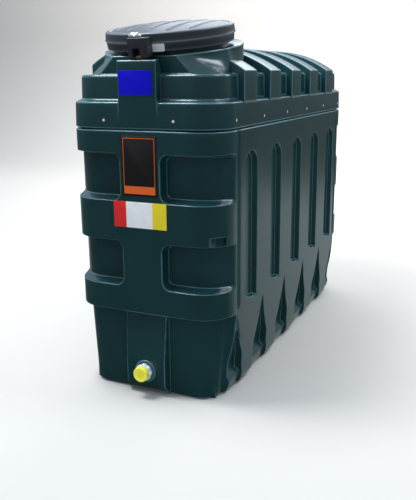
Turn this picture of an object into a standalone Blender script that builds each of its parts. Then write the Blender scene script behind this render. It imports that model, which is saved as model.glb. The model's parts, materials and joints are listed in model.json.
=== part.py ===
"""Bunded oil tank: a slim moulded tank in an outer bund, with a screwed-on hood and a hinged round lid.

Metres, +Z up. The front end, with the outlet, looks along -Y. The origin is on the floor, in the
middle of the box that holds the whole object. Lengths along the tank are measured from the front
plane of the hood, and place() turns them into world Y.
"""
import math

import bmesh
import bpy
from mathutils import Matrix, Vector

# Driving dimensions of the whole tank
WIDTH = 0.700
BAY = 0.311
BAYS = 6
LENGTH = BAY * BAYS
GAP = 0.0003
HALF_WIDTH = WIDTH / 2
OUTLET_REACH = 0.050
FRONT_Y = -(LENGTH - OUTLET_REACH) / 2

# Heights of the bund, from the floor
BASE_TOP = 0.356
LOW_BAND_TOP = 0.472
LOWER_RECESS_TOP = 0.657
MID_BAND_TOP = 0.825
UPPER_RECESS_TOP = 1.011
BUND_TOP = 1.102
HOOD_BOTTOM = 1.108
LEDGE_Z = 1.208
TIER_TOP = 1.312
DECK_THICK = 0.012

# The bund's plan and its relief
CORNER_R = 0.139
FOOT_CORNER_R = 0.050
BUND_INNER_X = 0.285
BUND_INNER_Y = 0.075
SPINE_HALF = 0.0885
SPINE_DRAFT = 0.003
SPINE_FOOT = 0.045
SPINE_FOOT_DEPTH = 0.036
RECESS_DEPTH = 0.046
RECESS_RISE = 0.015
BASE_SETBACK = 0.030
BASE_TAPER_TOP = 0.012
BASE_TAPER_FLOOR = 0.050
END_SPLIT = 0.155
LIP_INSET = 0.014

# Flutes and feet along the long sides
GROOVE_HALF = 0.016
GROOVE_DEPTH = 0.010
FLUTE_HALF = 0.070
FLUTE_FLOOR_HALF = 0.058
FLUTE_DEPTH = 0.022
FLUTE_BOTTOM = 0.366
FLUTE_TOP = 1.004
FOOT_HALF = 0.058
FOOT_FACE_X = 0.345
FOOT_SHOULDER_Z = 0.180
FOOT_TOE_Z = 0.062
FOOT_TOE_X = 0.318

# Hood tiers, ribs and roof
TIER_SETBACK = 0.030
LEDGE_RISE = 0.010
PANEL_HALF = 0.083
PANEL_TOP = 1.366
HOUSING_Y = 0.040
ROOF_THICK = 0.012
ROOF_INSET = 0.025
ROOF_HALF = HALF_WIDTH - TIER_SETBACK - ROOF_INSET
ROOF_RISE = 0.083
ROOF_EDGE = 0.0012
ROOF_FALL = 0.170
ROOF_END_WALL = 0.024
DECK_OPENING_X = 0.240
DECK_OPENING_FRONT = 0.640
DECK_OPENING_BACK = LENGTH - 0.120
RIB_COUNT = 5
RIB_FIRST = 0.230
RIB_PITCH = 0.302
RIB_WIDTH = 0.138
RIB_SIDE_TOP = 1.327
RIB_RISE = 0.108
RIB_STUB_X = 0.262
RIB_LEFT_LIFT = 0.026
HOOD_INNER_X = 0.290
HOOD_INNER_Y = 0.055

# The tilted neck and its lid, in the lid's own frame
LID_Y = 0.295
LID_Z = 1.433
TILT = math.radians(8.8)
NECK_Y = 0.323
NECK_R = 0.286
NECK_DROP = 0.0148
SHOULDER_FOOT_X = 0.226
SHOULDER_LEAN = 1.22
SHOULDER_TOP = 1.370
SHOULDER_RUN_X = 0.067
SHOULDER_RUN_Y = 0.103
SHOULDER_SHRINK = 4.5
SHOULDER_SIDE_X = 0.2965
SHOULDER_SIDE_LEAN = 0.16
SHOULDER_BACK_X = 0.200
SHOULDER_BACK_Y = RIB_FIRST - 0.002
UPSTAND_R = 0.247
THROAT_R = 0.240
LID_R = 0.2587
LID_STEP_R = 0.2659
LID_STEP_N = 0.032
LID_EDGE_R = 0.2592
LID_EDGE_N = 0.060
LID_TOP_R = 0.2455
LID_TOP_N = 0.070
LID_CROWN_N = 0.086
LID_WALL = 0.0052
LID_CEILING_N = 0.030
HINGE_V = 0.284
HINGE_N = 0.004
PIN_R = 0.0037
PIN_CLEARANCE = 0.0001
EYE_R = 0.0095
HASP_FRONT_V = -0.300
HASP_TOP_N = 0.076
HASP_NOTCH_N = 0.041
HASP_FOOT_N = -0.008
TAG_ANGLE = math.radians(18)

# The inner tank
INNER_X = 0.262
INNER_FRONT = 0.100
INNER_BACK = LENGTH - 0.100
INNER_WALL = 0.010
INNER_TOP = 1.165
FLOOR_THICK = 0.020

# The outlet
OUTLET_Z = 0.105
BOSS_R = 0.048
COLLAR_R = 0.033
CAP_R = 0.029


def place(y):
    """World Y of a distance measured back from the front plane."""
    return FRONT_Y + y


def clear_scene():
    for old in list(bpy.data.objects):
        bpy.data.objects.remove(old, do_unlink=True)


def new_collection(name):
    group = bpy.data.collections.new(name)
    bpy.context.scene.collection.children.link(group)
    return group


def make_material(name, colour, roughness, metallic=0.0):
    """A plain finish: base colour, roughness and metallic value."""
    finish = bpy.data.materials.new(name)
    finish.use_nodes = True
    shader = finish.node_tree.nodes["Principled BSDF"]
    shader.inputs["Base Color"].default_value = (*colour, 1.0)
    shader.inputs["Roughness"].default_value = roughness
    shader.inputs["Metallic"].default_value = metallic
    return finish


FINISHES = {
    "green": ((0.012, 0.045, 0.050), 0.42, 0.0),
    "black": ((0.012, 0.012, 0.014), 0.50, 0.0),
    "inner": ((0.010, 0.016, 0.018), 0.55, 0.0),
    "steel": ((0.62, 0.62, 0.60), 0.30, 1.0),
    "white": ((0.75, 0.76, 0.76), 0.40, 0.0),
    "yellow": ((0.90, 0.72, 0.02), 0.38, 0.0),
    "blue": ((0.012, 0.010, 0.62), 0.35, 0.0),
    "ink": ((0.015, 0.013, 0.012), 0.35, 0.0),
    "brass": ((0.60, 0.38, 0.14), 0.35, 1.0),
}


def finish_object(item, group, colour):
    """Give a piece its material and put it in the tank's collection."""
    item.data.materials.clear()
    item.data.materials.append(make_material(item.name + "_finish", *FINISHES[colour]))
    for home in list(item.users_collection):
        home.objects.unlink(item)
    group.objects.link(item)
    return item


def mesh_object(name, verts, faces):
    """A mesh object whose faces are turned to point outwards."""
    mesh = bpy.data.meshes.new(name)
    mesh.from_pydata(verts, [], faces)
    shape = bmesh.new()
    shape.from_mesh(mesh)
    bmesh.ops.recalc_face_normals(shape, faces=shape.faces)
    shape.to_mesh(mesh)
    shape.free()
    item = bpy.data.objects.new(name, mesh)
    bpy.context.scene.collection.objects.link(item)
    return item


def loft_faces(rings, count, closed):
    """Faces between rings of equal length; open stacks get a cap at both ends."""
    faces = []
    spans = rings if closed else rings - 1
    for ring in range(spans):
        here = ring * count
        above = ((ring + 1) % rings) * count
        for step in range(count):
            after = (step + 1) % count
            faces.append((here + step, here + after, above + after, above + step))
    if not closed:
        faces.append(tuple(range(count)))
        faces.append(tuple(range((rings - 1) * count, rings * count)))
    return faces


def loft(name, rings, closed=False):
    """A solid carried through unlike sections, each a ring of points."""
    verts = [point for ring in rings for point in ring]
    return mesh_object(name, verts, loft_faces(len(rings), len(rings[0]), closed))


def box(name, low, high):
    """A box from a primitive cube, between two corners."""
    bpy.ops.mesh.primitive_cube_add(size=1.0)
    item = bpy.context.object
    item.name = name
    low, high = Vector(low), Vector(high)
    item.data.transform(Matrix.Diagonal((*(high - low), 1.0)))
    item.data.transform(Matrix.Translation((low + high) / 2))
    return item


def rod(name, radius, depth, centre, turn, sides=24):
    """A cylinder primitive turned about an axis and moved to its centre."""
    bpy.ops.mesh.primitive_cylinder_add(vertices=sides, radius=radius, depth=depth)
    item = bpy.context.object
    item.name = name
    item.data.transform(Matrix.Translation(centre) @ turn)
    item.data.shade_smooth()
    item.data.set_sharp_from_angle(angle=math.radians(40))
    return item


def extrude_outline(name, points, half_depth, across):
    """A flat outline as a filled 2D curve with thickness, turned by a matrix and made a mesh."""
    curve = bpy.data.curves.new(name, "CURVE")
    curve.dimensions = "2D"
    curve.fill_mode = "BOTH"
    curve.extrude = half_depth
    spline = curve.splines.new("POLY")
    spline.points.add(len(points) - 1)
    for spot, (a, b) in zip(spline.points, points):
        spot.co = (a, b, 0.0, 1.0)
    spline.use_cyclic_u = True
    drawn = bpy.data.objects.new(name + "_curve", curve)
    bpy.context.scene.collection.objects.link(drawn)
    bpy.context.view_layer.update()
    evaluated = drawn.evaluated_get(bpy.context.evaluated_depsgraph_get())
    mesh = bpy.data.meshes.new_from_object(evaluated)
    shape = bmesh.new()
    shape.from_mesh(mesh)
    bmesh.ops.remove_doubles(shape, verts=shape.verts, dist=0.00005)
    bmesh.ops.recalc_face_normals(shape, faces=shape.faces)
    shape.to_mesh(mesh)
    shape.free()
    mesh.name = name
    mesh.transform(across)
    item = bpy.data.objects.new(name, mesh)
    bpy.context.scene.collection.objects.link(item)
    bpy.data.objects.remove(drawn, do_unlink=True)
    return item


# An outline drawn in X and Z, with its thickness along Y
UPRIGHT = Matrix(((1, 0, 0, 0), (0, 0, -1, 0), (0, 1, 0, 0), (0, 0, 0, 1)))
# An outline drawn in Y and Z, with its thickness along X
SIDEWAYS = Matrix(((0, 0, 1, 0), (1, 0, 0, 0), (0, 1, 0, 0), (0, 0, 0, 1)))


def cut(item, cutter, cutters, operation="DIFFERENCE"):
    """Boolean one piece with a hidden cutter."""
    for home in list(cutter.users_collection):
        home.objects.unlink(cutter)
    cutters.objects.link(cutter)
    cutter.hide_render = True
    cutter.display_type = "WIRE"
    step = item.modifiers.new("cut_" + cutter.name, "BOOLEAN")
    step.operation = operation
    step.object = cutter
    step.solver = "EXACT"
    return item


def end_ring(z, plan, inner_x, inner_y, panel, mirrored, spine=0.0):
    """One plan section of an end wall: a U with rounded outer corners.

    plan is the depth the outline is pushed back by, the inset at each side and the corner
    radius. spine is the depth of the central spine.
    """
    depth, inset_x, radius = plan
    arc_x = HALF_WIDTH - inset_x - radius
    right = []
    for step in range(9):
        angle = math.radians(90 - step * 10)
        x = arc_x + radius * math.sin(angle)
        y = min(radius - radius * math.cos(angle) + depth, END_SPLIT)
        right.append((x, y))
    right.insert(0, (HALF_WIDTH - inset_x, END_SPLIT))
    right[1] = (right[1][0] - 0.0004, right[1][1] - 0.0004)
    right.append((panel + SPINE_DRAFT, depth))
    right.append((panel, min(spine, depth)))
    left = [(-x, y) for x, y in reversed(right)]
    inner = [(-inner_x, END_SPLIT), (-inner_x, inner_y), (inner_x, inner_y), (inner_x, END_SPLIT)]
    outline = right + left + inner
    if mirrored:
        return [(x, place(LENGTH - y), z) for x, y in outline]
    return [(x, place(y), z) for x, y in outline]


def bund_end(name, mirrored):
    """An end wall of the bund: four recesses around a spine, over a stepped-in base."""
    flat = (0.0, 0.0, CORNER_R)
    sunk = (RECESS_DEPTH, 0.0, CORNER_R)
    toe = 0.020
    levels = [
        (0.0, (BASE_SETBACK + 0.012, BASE_TAPER_FLOOR + 0.010, FOOT_CORNER_R)),
        (toe, (BASE_SETBACK, BASE_TAPER_FLOOR - 0.002, FOOT_CORNER_R)),
        (SPINE_FOOT, (BASE_SETBACK, BASE_TAPER_FLOOR - 0.006, FOOT_CORNER_R)),
        (BASE_TOP - 0.002, (BASE_SETBACK, BASE_TAPER_TOP, 0.125)),
        (BASE_TOP + 0.006, flat),
        (LOW_BAND_TOP, flat),
        (LOW_BAND_TOP + RECESS_RISE, sunk),
        (LOWER_RECESS_TOP - 0.004, sunk),
        (LOWER_RECESS_TOP + 0.004, flat),
        (MID_BAND_TOP, flat),
        (MID_BAND_TOP + RECESS_RISE, sunk),
        (UPPER_RECESS_TOP - 0.004, sunk),
        (UPPER_RECESS_TOP + 0.004, flat),
        (BUND_TOP, flat),
        (BUND_TOP + 0.0002, (LIP_INSET, LIP_INSET, CORNER_R - LIP_INSET)),
        (HOOD_BOTTOM - GAP, (LIP_INSET, LIP_INSET, CORNER_R - LIP_INSET)),
    ]
    rings = []
    for z, plan in levels:
        spine = plan[0] if z > BUND_TOP else 0.0
        if z < SPINE_FOOT:
            spine = SPINE_FOOT_DEPTH * (1 - z / SPINE_FOOT) ** 1.5
        rings.append(end_ring(z, plan, BUND_INNER_X, BUND_INNER_Y, SPINE_HALF, mirrored, spine))
    return loft(name, rings)


def side_ring(z, side):
    """One plan section of a long side wall of the bund, from end split to end split."""
    face = HALF_WIDTH if z <= BUND_TOP else HALF_WIDTH - LIP_INSET
    below = max(0.0, (BASE_TOP - z) / BASE_TOP)
    back = face - BASE_TAPER_FLOOR * below
    foot = face
    spread = BAY / 2 - 0.004
    if z < BASE_TOP:
        if z >= FOOT_SHOULDER_Z:
            share = (z - FOOT_SHOULDER_Z) / (BASE_TOP - FOOT_SHOULDER_Z)
            spread = FOOT_HALF + (spread - FOOT_HALF) * share
            foot = FOOT_FACE_X + (face - FOOT_FACE_X) * share
        else:
            spread = FOOT_HALF
            foot = FOOT_FACE_X
        if z < FOOT_TOE_Z:
            foot = FOOT_TOE_X + (FOOT_FACE_X - FOOT_TOE_X) * z / FOOT_TOE_Z
    sunk = 0.0
    half = 0.024
    floor_half = 0.012
    if FLUTE_BOTTOM <= z <= FLUTE_TOP:
        grow = min(1.0, (z - FLUTE_BOTTOM) / 0.026, math.sqrt((FLUTE_TOP - z) / 0.060))
        grow = max(grow, 0.0)
        sunk = FLUTE_DEPTH * min(1.0, grow * 1.5)
        half = 0.006 + (FLUTE_HALF - 0.006) * grow
        floor_half = 0.004 + (FLUTE_FLOOR_HALF - 0.004) * grow
    groove = GROOVE_DEPTH if BASE_TOP < z <= BUND_TOP else 0.0
    start = END_SPLIT + GAP
    points = [(back - groove, start), (back - groove, start + GROOVE_HALF * 1.2),
              (back - 0.0002, start + GROOVE_HALF * 1.6)]
    widest = BAY - start - GROOVE_HALF * 1.6 - 0.006
    for bay in range(1, BAYS):
        middle = BAY * bay
        near = min(spread, widest) if bay == 1 else spread
        far = min(spread, widest) if bay == BAYS - 1 else spread
        points += [(back, middle - near - 0.003), (foot, middle - near)]
        points += [(foot, middle - half), (foot - sunk, middle - floor_half)]
        points += [(foot - sunk, middle + floor_half), (foot, middle + half)]
        points += [(foot, middle + far), (back, middle + far + 0.003)]
    end = LENGTH - start
    points += [(back - 0.0002, end - GROOVE_HALF * 1.6), (back - groove, end - GROOVE_HALF * 1.2),
               (back - groove, end)]
    points += [(BUND_INNER_X, end), (BUND_INNER_X, start)]
    return [(side * x, place(y), z) for x, y in points]


def bund_side(name, side):
    """A long wall of the bund: five flutes above, and feet between hollows below."""
    arch = [FLUTE_TOP - drop for drop in (0.036, 0.014, 0.003)]
    levels = [0.0, FOOT_TOE_Z, FOOT_SHOULDER_Z, BASE_TOP - 0.0005, FLUTE_BOTTOM,
              FLUTE_BOTTOM + 0.026, FLUTE_TOP - 0.060] + arch
    levels += [FLUTE_TOP + 0.0005, BUND_TOP, BUND_TOP + 0.0002, HOOD_BOTTOM - GAP]
    return loft(name, [side_ring(z, side) for z in levels])


def hood_end(name, mirrored):
    """An end wall of the hood: the skirt, its ledge and the set-back tier."""
    tier = (TIER_SETBACK, TIER_SETBACK, CORNER_R - TIER_SETBACK)
    flat = (0.0, 0.0, CORNER_R)
    levels = [(HOOD_BOTTOM, flat), (LEDGE_Z, flat), (LEDGE_Z + LEDGE_RISE, tier),
              (TIER_TOP - DECK_THICK - GAP, tier)]
    rings = [end_ring(z, plan, HOOD_INNER_X, HOOD_INNER_Y, PANEL_HALF, mirrored, plan[0])
             for z, plan in levels]
    return loft(name, rings)


def hood_side(name, side):
    """A long wall of the hood, with the same ledge and tier, from end split to end split."""
    tier_x = HALF_WIDTH - TIER_SETBACK
    outline = [(HOOD_INNER_X, HOOD_BOTTOM), (HALF_WIDTH, HOOD_BOTTOM), (HALF_WIDTH, LEDGE_Z),
               (tier_x, LEDGE_Z + LEDGE_RISE), (tier_x, TIER_TOP - DECK_THICK - GAP),
               (HOOD_INNER_X, TIER_TOP - DECK_THICK - GAP)]
    outline = [(side * x, z) for x, z in outline]
    half = LENGTH / 2 - END_SPLIT - GAP
    middle = Matrix.Translation((0, place(LENGTH / 2), 0))
    return extrude_outline(name, outline, half, middle @ UPRIGHT)


def lid_point(x, v, n):
    """World point of a place in the lid's frame: v runs back along the tilt, n stands off it."""
    y = LID_Y + v * math.cos(TILT) - n * math.sin(TILT)
    z = LID_Z + v * math.sin(TILT) + n * math.cos(TILT)
    return (x, place(y), z)


def lid_frame():
    """The matrix that puts a thing drawn in the lid's frame into the world."""
    return Matrix.Translation((0, place(LID_Y), LID_Z)) @ Matrix.Rotation(TILT, 4, "X")


def neck_circle(radius, n=None, z=None, sides=48):
    """A circle about the lid's axis, or the same circle dropped straight down to a height."""
    points = []
    for step in range(sides):
        angle = 2 * math.pi * step / sides
        x, y, tall = lid_point(radius * math.cos(angle), radius * math.sin(angle),
                               -NECK_DROP if n is None else n)
        points.append((x, y, tall if z is None else z))
    return points


def neck_wall(z=None, grow=0.0, sides=48):
    """The neck's outer wall: an upright round, cut off by the tilted rim or at a height."""
    points = []
    for step in range(sides):
        angle = 2 * math.pi * step / sides
        x = (NECK_R + grow) * math.cos(angle)
        y = NECK_Y + (NECK_R + grow) * math.sin(angle)
        rim = LID_Z + (y - LID_Y) * math.tan(TILT) - NECK_DROP / math.cos(TILT)
        points.append((x, place(y), rim if z is None else z))
    return points


def neck_cutter(name):
    """An upright plug with the neck's outline, a gap larger."""
    return loft(name, [neck_wall(z=1.20, grow=GAP), neck_wall(z=1.60, grow=GAP)])


def hatch_neck(cutters):
    """The tilted collar under the lid, with a low upstand that the lid sits on."""
    base = TIER_TOP + GAP
    rings = [neck_wall(z=base), neck_wall(), neck_circle(UPSTAND_R),
             neck_circle(UPSTAND_R, n=LID_CEILING_N - GAP),
             neck_circle(THROAT_R, n=LID_CEILING_N - GAP), neck_circle(THROAT_R, z=base)]
    collar = loft("hatch_neck", rings, closed=True)
    front = box("neck_front_cut", (-0.4, place(-0.2), 1.25), (0.4, place(HOUSING_Y), 1.60))
    return cut(collar, front, cutters)


def shoulder_ring(z, side):
    """A plan section of a shoulder: the flat front, a slanted face and a straight side.

    The faces lean in as they rise, so each height has its own front half-width.
    """
    front = SHOULDER_FOOT_X - SHOULDER_LEAN * (z - TIER_TOP)
    run = 1.0 - SHOULDER_SHRINK * (z - TIER_TOP)
    side_x = SHOULDER_SIDE_X - SHOULDER_SIDE_LEAN * (z - TIER_TOP)
    turn = (min(front + SHOULDER_RUN_X * run, side_x - 0.001), HOUSING_Y + SHOULDER_RUN_Y * run)
    outline = [(PANEL_HALF * 0.5, HOUSING_Y), (front, HOUSING_Y), turn, (side_x, SHOULDER_BACK_Y),
               (SHOULDER_BACK_X, SHOULDER_BACK_Y), (PANEL_HALF * 0.5, SHOULDER_BACK_Y)]
    return [(side * x, place(y), z) for x, y in outline]


def neck_shoulder(name, side, cutters):
    """A sloped shoulder that carries the flat front of the neck out to the deck."""
    item = loft(name, [shoulder_ring(z, side) for z in (TIER_TOP + GAP, SHOULDER_TOP)])
    return cut(item, neck_cutter(name + "_cut"), cutters)


def hood_deck(cutters):
    """The flat plate on top of the tier, open under the neck and under the roof."""
    radius = CORNER_R - TIER_SETBACK
    side_x = HALF_WIDTH - TIER_SETBACK
    outline = []
    for centre_y, start in ((LENGTH - CORNER_R, 0), (CORNER_R, -90)):
        for step in range(10):
            angle = math.radians(start + 90 - step * 10)
            outline.append((side_x - radius + radius * math.cos(angle),
                            place(centre_y + radius * math.sin(angle))))
    outline += [(-x, y) for x, y in reversed(outline)]
    middle = Matrix.Translation((0, 0, TIER_TOP - DECK_THICK / 2))
    plate = extrude_outline("hood_deck", outline, DECK_THICK / 2, middle)
    throat = loft("throat_cut", [neck_circle(THROAT_R, z=1.20), neck_circle(THROAT_R, z=1.60)])
    under_roof = box("under_roof_cut", (-DECK_OPENING_X, place(DECK_OPENING_FRONT), 1.25),
                     (DECK_OPENING_X, place(DECK_OPENING_BACK), 1.60))
    return cut(cut(plate, throat, cutters), under_roof, cutters)


def arch(half, rise, base, foot, steps=24):
    """An upright foot and a shallow round arch between two feet, from right to left."""
    radius = (half ** 2 + rise ** 2) / (2 * rise)
    reach = math.asin(min(1.0, half / radius))
    points = [(half, foot)]
    for step in range(steps + 1):
        angle = reach - 2 * reach * step / steps
        points.append((radius * math.sin(angle), base + rise - radius + radius * math.cos(angle)))
    points.append((-half, foot))
    return points


def roof_ring(y):
    """A section of the arched roof; it narrows and sinks towards the back."""
    radius = CORNER_R - TIER_SETBACK - ROOF_INSET
    back = LENGTH - TIER_SETBACK - ROOF_INSET
    over = max(0.0, y - (back - radius))
    half = ROOF_HALF - radius + math.sqrt(max(radius ** 2 - over ** 2, 0.0))
    fall = max(0.0, (y - (back - ROOF_FALL)) / ROOF_FALL)
    rise = ROOF_RISE * math.sqrt(max(1.0 - fall ** 2.4, 0.0)) + ROOF_EDGE
    foot = TIER_TOP + GAP
    outer = arch(half, rise, foot + GAP, foot)
    inner_rise = max(rise - ROOF_THICK, ROOF_EDGE / 2)
    if back - y < ROOF_END_WALL:
        inner_rise = ROOF_EDGE / 2
    inner = arch(half - ROOF_THICK, inner_rise, foot + GAP * 0.5, foot)
    return [(x, place(y), z) for x, z in outer + inner[::-1]]


def hood_roof(cutters):
    """The arched roof, from the first rib to the back, cut away round the neck."""
    back = LENGTH - TIER_SETBACK - ROOF_INSET
    stops = [RIB_FIRST + RIB_WIDTH + GAP, back - ROOF_FALL]
    stops += [back - rest for rest in (0.130, 0.084, 0.060, 0.042, 0.026, 0.014, 0.006, 0.001)]
    roof = loft("hood_roof", [roof_ring(y) for y in stops])
    return cut(roof, neck_cutter("roof_cut"), cutters)


def rib_stub(name, side, lift, cutters):
    """What the neck leaves of the first rib on one side; the left one stands a little taller."""
    right = [(x, z + (lift if z > RIB_SIDE_TOP - GAP else 0.0))
             for x, z in arch(HALF_WIDTH, RIB_RISE, RIB_SIDE_TOP, LEDGE_Z + GAP, 40)
             if x > RIB_STUB_X]
    tier_x = HALF_WIDTH - TIER_SETBACK + GAP
    outline = right + [(right[-1][0], TIER_TOP + GAP), (tier_x, TIER_TOP + GAP),
                       (tier_x, LEDGE_Z + LEDGE_RISE + GAP)]
    middle = Matrix.Translation((0, place(RIB_FIRST + RIB_WIDTH / 2), 0))
    points = [(side * x, z) for x, z in outline]
    stub = extrude_outline(name, points, RIB_WIDTH / 2, middle @ UPRIGHT)
    return cut(stub, neck_cutter(name + "_cut"), cutters)


def roof_rib(number, cutters):
    """One rib: an arch over the roof that comes down both sides to the ledge."""
    name = f"roof_rib_{number}"
    outer = arch(HALF_WIDTH, RIB_RISE, RIB_SIDE_TOP, LEDGE_Z + GAP)
    tier_x = HALF_WIDTH - TIER_SETBACK + GAP
    on_deck = TIER_TOP + GAP
    inner = [(tier_x, LEDGE_Z + LEDGE_RISE + GAP), (tier_x, on_deck)]
    inner += arch(ROOF_HALF + GAP, ROOF_RISE + ROOF_EDGE + GAP, on_deck + 2 * GAP, on_deck)
    inner += [(-tier_x, on_deck), (-tier_x, LEDGE_Z + LEDGE_RISE + GAP)]
    start = RIB_FIRST + RIB_PITCH * (number - 1)
    middle = Matrix.Translation((0, place(start + RIB_WIDTH / 2), 0))
    rib = extrude_outline(name, outer + inner[::-1], RIB_WIDTH / 2, middle @ UPRIGHT)
    if start < NECK_Y + NECK_R:
        cut(rib, neck_cutter(name + "_cut"), cutters)
    return rib


def front_panel():
    """The flush panel in the middle of the hood's front, up to the lid's lock."""
    outline = [(0.0, LEDGE_Z + GAP), (TIER_SETBACK - GAP, LEDGE_Z + LEDGE_RISE + GAP),
               (TIER_SETBACK - GAP, TIER_TOP + GAP), (HOUSING_Y - GAP, TIER_TOP + GAP),
               (HOUSING_Y - GAP, PANEL_TOP), (0.0, PANEL_TOP)]
    outline = [(place(y), z) for y, z in outline]
    return extrude_outline("hood_front_panel", outline, PANEL_HALF, SIDEWAYS)


def hatch_lid():
    """The round lid, a turned profile: crowned top, rolled edge, stepped rim and hollow underside."""
    profile = [(0.0, LID_CROWN_N), (0.09, LID_CROWN_N - 0.0022), (0.17, LID_CROWN_N - 0.0078),
               (LID_TOP_R - 0.008, LID_TOP_N + 0.0008), (LID_TOP_R, LID_TOP_N - 0.002),
               (LID_EDGE_R, LID_EDGE_N), (LID_STEP_R, LID_STEP_N + 0.004),
               (LID_STEP_R, LID_STEP_N - 0.002), (LID_R + 0.003, LID_STEP_N - 0.004), (LID_R, 0.0),
               (LID_R - LID_WALL, 0.0), (LID_R - LID_WALL, LID_CEILING_N), (0.0, LID_CEILING_N)]
    mesh = bpy.data.meshes.new("hatch_lid")
    edges = [(step, step + 1) for step in range(len(profile) - 1)]
    mesh.from_pydata([(r, 0, n) for r, n in profile], edges, [])
    lid = bpy.data.objects.new("hatch_lid", mesh)
    bpy.context.scene.collection.objects.link(lid)
    turn = lid.modifiers.new("turned", "SCREW")
    turn.axis = "Z"
    turn.steps = 40
    turn.render_steps = 40
    turn.use_merge_vertices = True
    turn.merge_threshold = 0.0001
    lid.matrix_world = lid_frame()
    return lid


def lid_box(name, low, high):
    """A box drawn in the lid's frame."""
    item = box(name, low, high)
    item.data.transform(lid_frame())
    return item


def lid_cutter(name):
    """The lid's outside, grown by the gap, to hollow what sits against it."""
    heights = [(-0.060, LID_R + 0.003), (LID_STEP_N - 0.004, LID_R + 0.003),
               (LID_STEP_N - 0.002, LID_STEP_R), (LID_STEP_N + 0.004, LID_STEP_R),
               (LID_EDGE_N, LID_EDGE_R), (0.120, LID_EDGE_R)]
    return loft(name, [neck_circle(radius + GAP, n=n, sides=40) for n, radius in heights])


def lid_hasp(cutters):
    """The lock bracket on the lid's front: a block with two short legs."""
    outline = [(-0.050, HASP_FOOT_N), (-0.034, HASP_FOOT_N), (-0.034, HASP_NOTCH_N),
               (0.022, HASP_NOTCH_N), (0.022, HASP_FOOT_N), (0.047, HASP_FOOT_N),
               (0.047, HASP_TOP_N), (-0.050, HASP_TOP_N)]
    near = -LID_R + 0.012
    half = (near - HASP_FRONT_V) / 2
    middle = Matrix.Translation((0, (near + HASP_FRONT_V) / 2, 0))
    hasp = extrude_outline("lid_hasp", outline, half, lid_frame() @ middle @ UPRIGHT)
    return cut(hasp, lid_cutter("lid_hasp_cut"), cutters)


def lock_dome():
    """The bright domed lock cylinder that stands on the hasp."""
    profile = [(0.0, 0.024), (0.012, 0.0225), (0.022, 0.018), (0.029, 0.010), (0.031, 0.0),
               (0.0, 0.0)]
    mesh = bpy.data.meshes.new("lock_dome")
    edges = [(step, step + 1) for step in range(len(profile) - 1)]
    mesh.from_pydata([(r, 0, n) for r, n in profile], edges, [])
    dome = bpy.data.objects.new("lock_dome", mesh)
    bpy.context.scene.collection.objects.link(dome)
    turn = dome.modifiers.new("turned", "SCREW")
    turn.steps = 24
    turn.render_steps = 24
    turn.use_merge_vertices = True
    turn.merge_threshold = 0.0001
    depth = (HASP_FRONT_V - LID_STEP_R) / 2
    flat = Matrix.Diagonal((1.0, 0.50, 1.0, 1.0))
    mesh.transform(flat)
    dome.matrix_world = lid_frame() @ Matrix.Translation((-0.018, depth, HASP_TOP_N + GAP))
    return dome


def lock_bolt():
    """The brass bolt end that shows between the hasp's legs."""
    return lid_box("lock_bolt", (-0.014, HASP_FRONT_V + 0.004, HASP_FOOT_N + 0.003),
                   (0.012, -LID_STEP_R - 0.010, HASP_NOTCH_N - GAP))


def eye_outline(centre_v, centre_n, radius, foot):
    """A rounded eye about the pin, with a straight foot."""
    points = []
    for step in range(13):
        angle = math.radians(-10 + step * 200 / 12)
        points.append((centre_v + radius * math.cos(angle), centre_n + radius * math.sin(angle)))
    return points + foot


def hinge_bracket():
    """The fixed half of the hinge: a foot on the rim and two ears that hold the pin."""
    rim_n = -NECK_DROP + GAP
    foot_top = rim_n + 0.004
    foot = lid_box("hinge_bracket", (-0.050, 0.2705, rim_n), (0.050, 0.2935, foot_top))
    low = [(HINGE_V - EYE_R, foot_top - 0.002), (HINGE_V + EYE_R, foot_top - 0.002)]
    for side in (-1, 1):
        ear = extrude_outline("ear", eye_outline(HINGE_V, HINGE_N, EYE_R, low), 0.006,
                              lid_frame() @ Matrix.Translation((side * 0.036, 0, 0)) @ SIDEWAYS)
        bore = rod("bore", PIN_R + PIN_CLEARANCE, 0.020, (0, 0, 0), Matrix.Identity(4), 24)
        bore.data.transform(lid_frame() @ Matrix.Translation((side * 0.036, HINGE_V, HINGE_N))
                            @ Matrix.Rotation(math.pi / 2, 4, "Y"))
        apply_boolean(ear, bore, "DIFFERENCE")
        apply_boolean(foot, ear, "UNION")
    return foot


def apply_boolean(item, other, operation):
    """Join or cut at once, and drop the second shape."""
    step = item.modifiers.new("join", "BOOLEAN")
    step.operation = operation
    step.object = other
    step.solver = "EXACT"
    bpy.context.view_layer.update()
    evaluated = item.evaluated_get(bpy.context.evaluated_depsgraph_get())
    mesh = bpy.data.meshes.new_from_object(evaluated)
    item.modifiers.clear()
    item.data = mesh
    bpy.data.objects.remove(other, do_unlink=True)


def hinge_knuckle():
    """The lid's half of the hinge: an eye on the pin and an arm to the lid's rim."""
    rim_v = LID_STEP_R + GAP
    arm = [(HINGE_V - EYE_R * 0.9, HINGE_N - 0.004), (rim_v, HINGE_N + 0.001), (rim_v, 0.026)]
    top = [(HINGE_V - 0.002, 0.020)]
    eye = eye_outline(HINGE_V, HINGE_N, EYE_R, [])
    outline = eye[:8] + top + arm[::-1]
    knuckle = extrude_outline("hinge_knuckle", outline, 0.0275, lid_frame() @ SIDEWAYS)
    bore = rod("bore", PIN_R + PIN_CLEARANCE, 0.080, (0, 0, 0), Matrix.Identity(4), 24)
    bore.data.transform(lid_frame() @ Matrix.Translation((0, HINGE_V, HINGE_N))
                        @ Matrix.Rotation(math.pi / 2, 4, "Y"))
    apply_boolean(knuckle, bore, "DIFFERENCE")
    return knuckle


def hinge_pin():
    """The pin through both halves of the hinge."""
    turn = Matrix.Rotation(math.pi / 2, 4, "Y")
    pin = rod("hinge_pin", PIN_R, 0.092, (0, 0, 0), turn, 24)
    pin.data.transform(lid_frame() @ Matrix.Translation((0, HINGE_V, HINGE_N)))
    return pin


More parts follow.
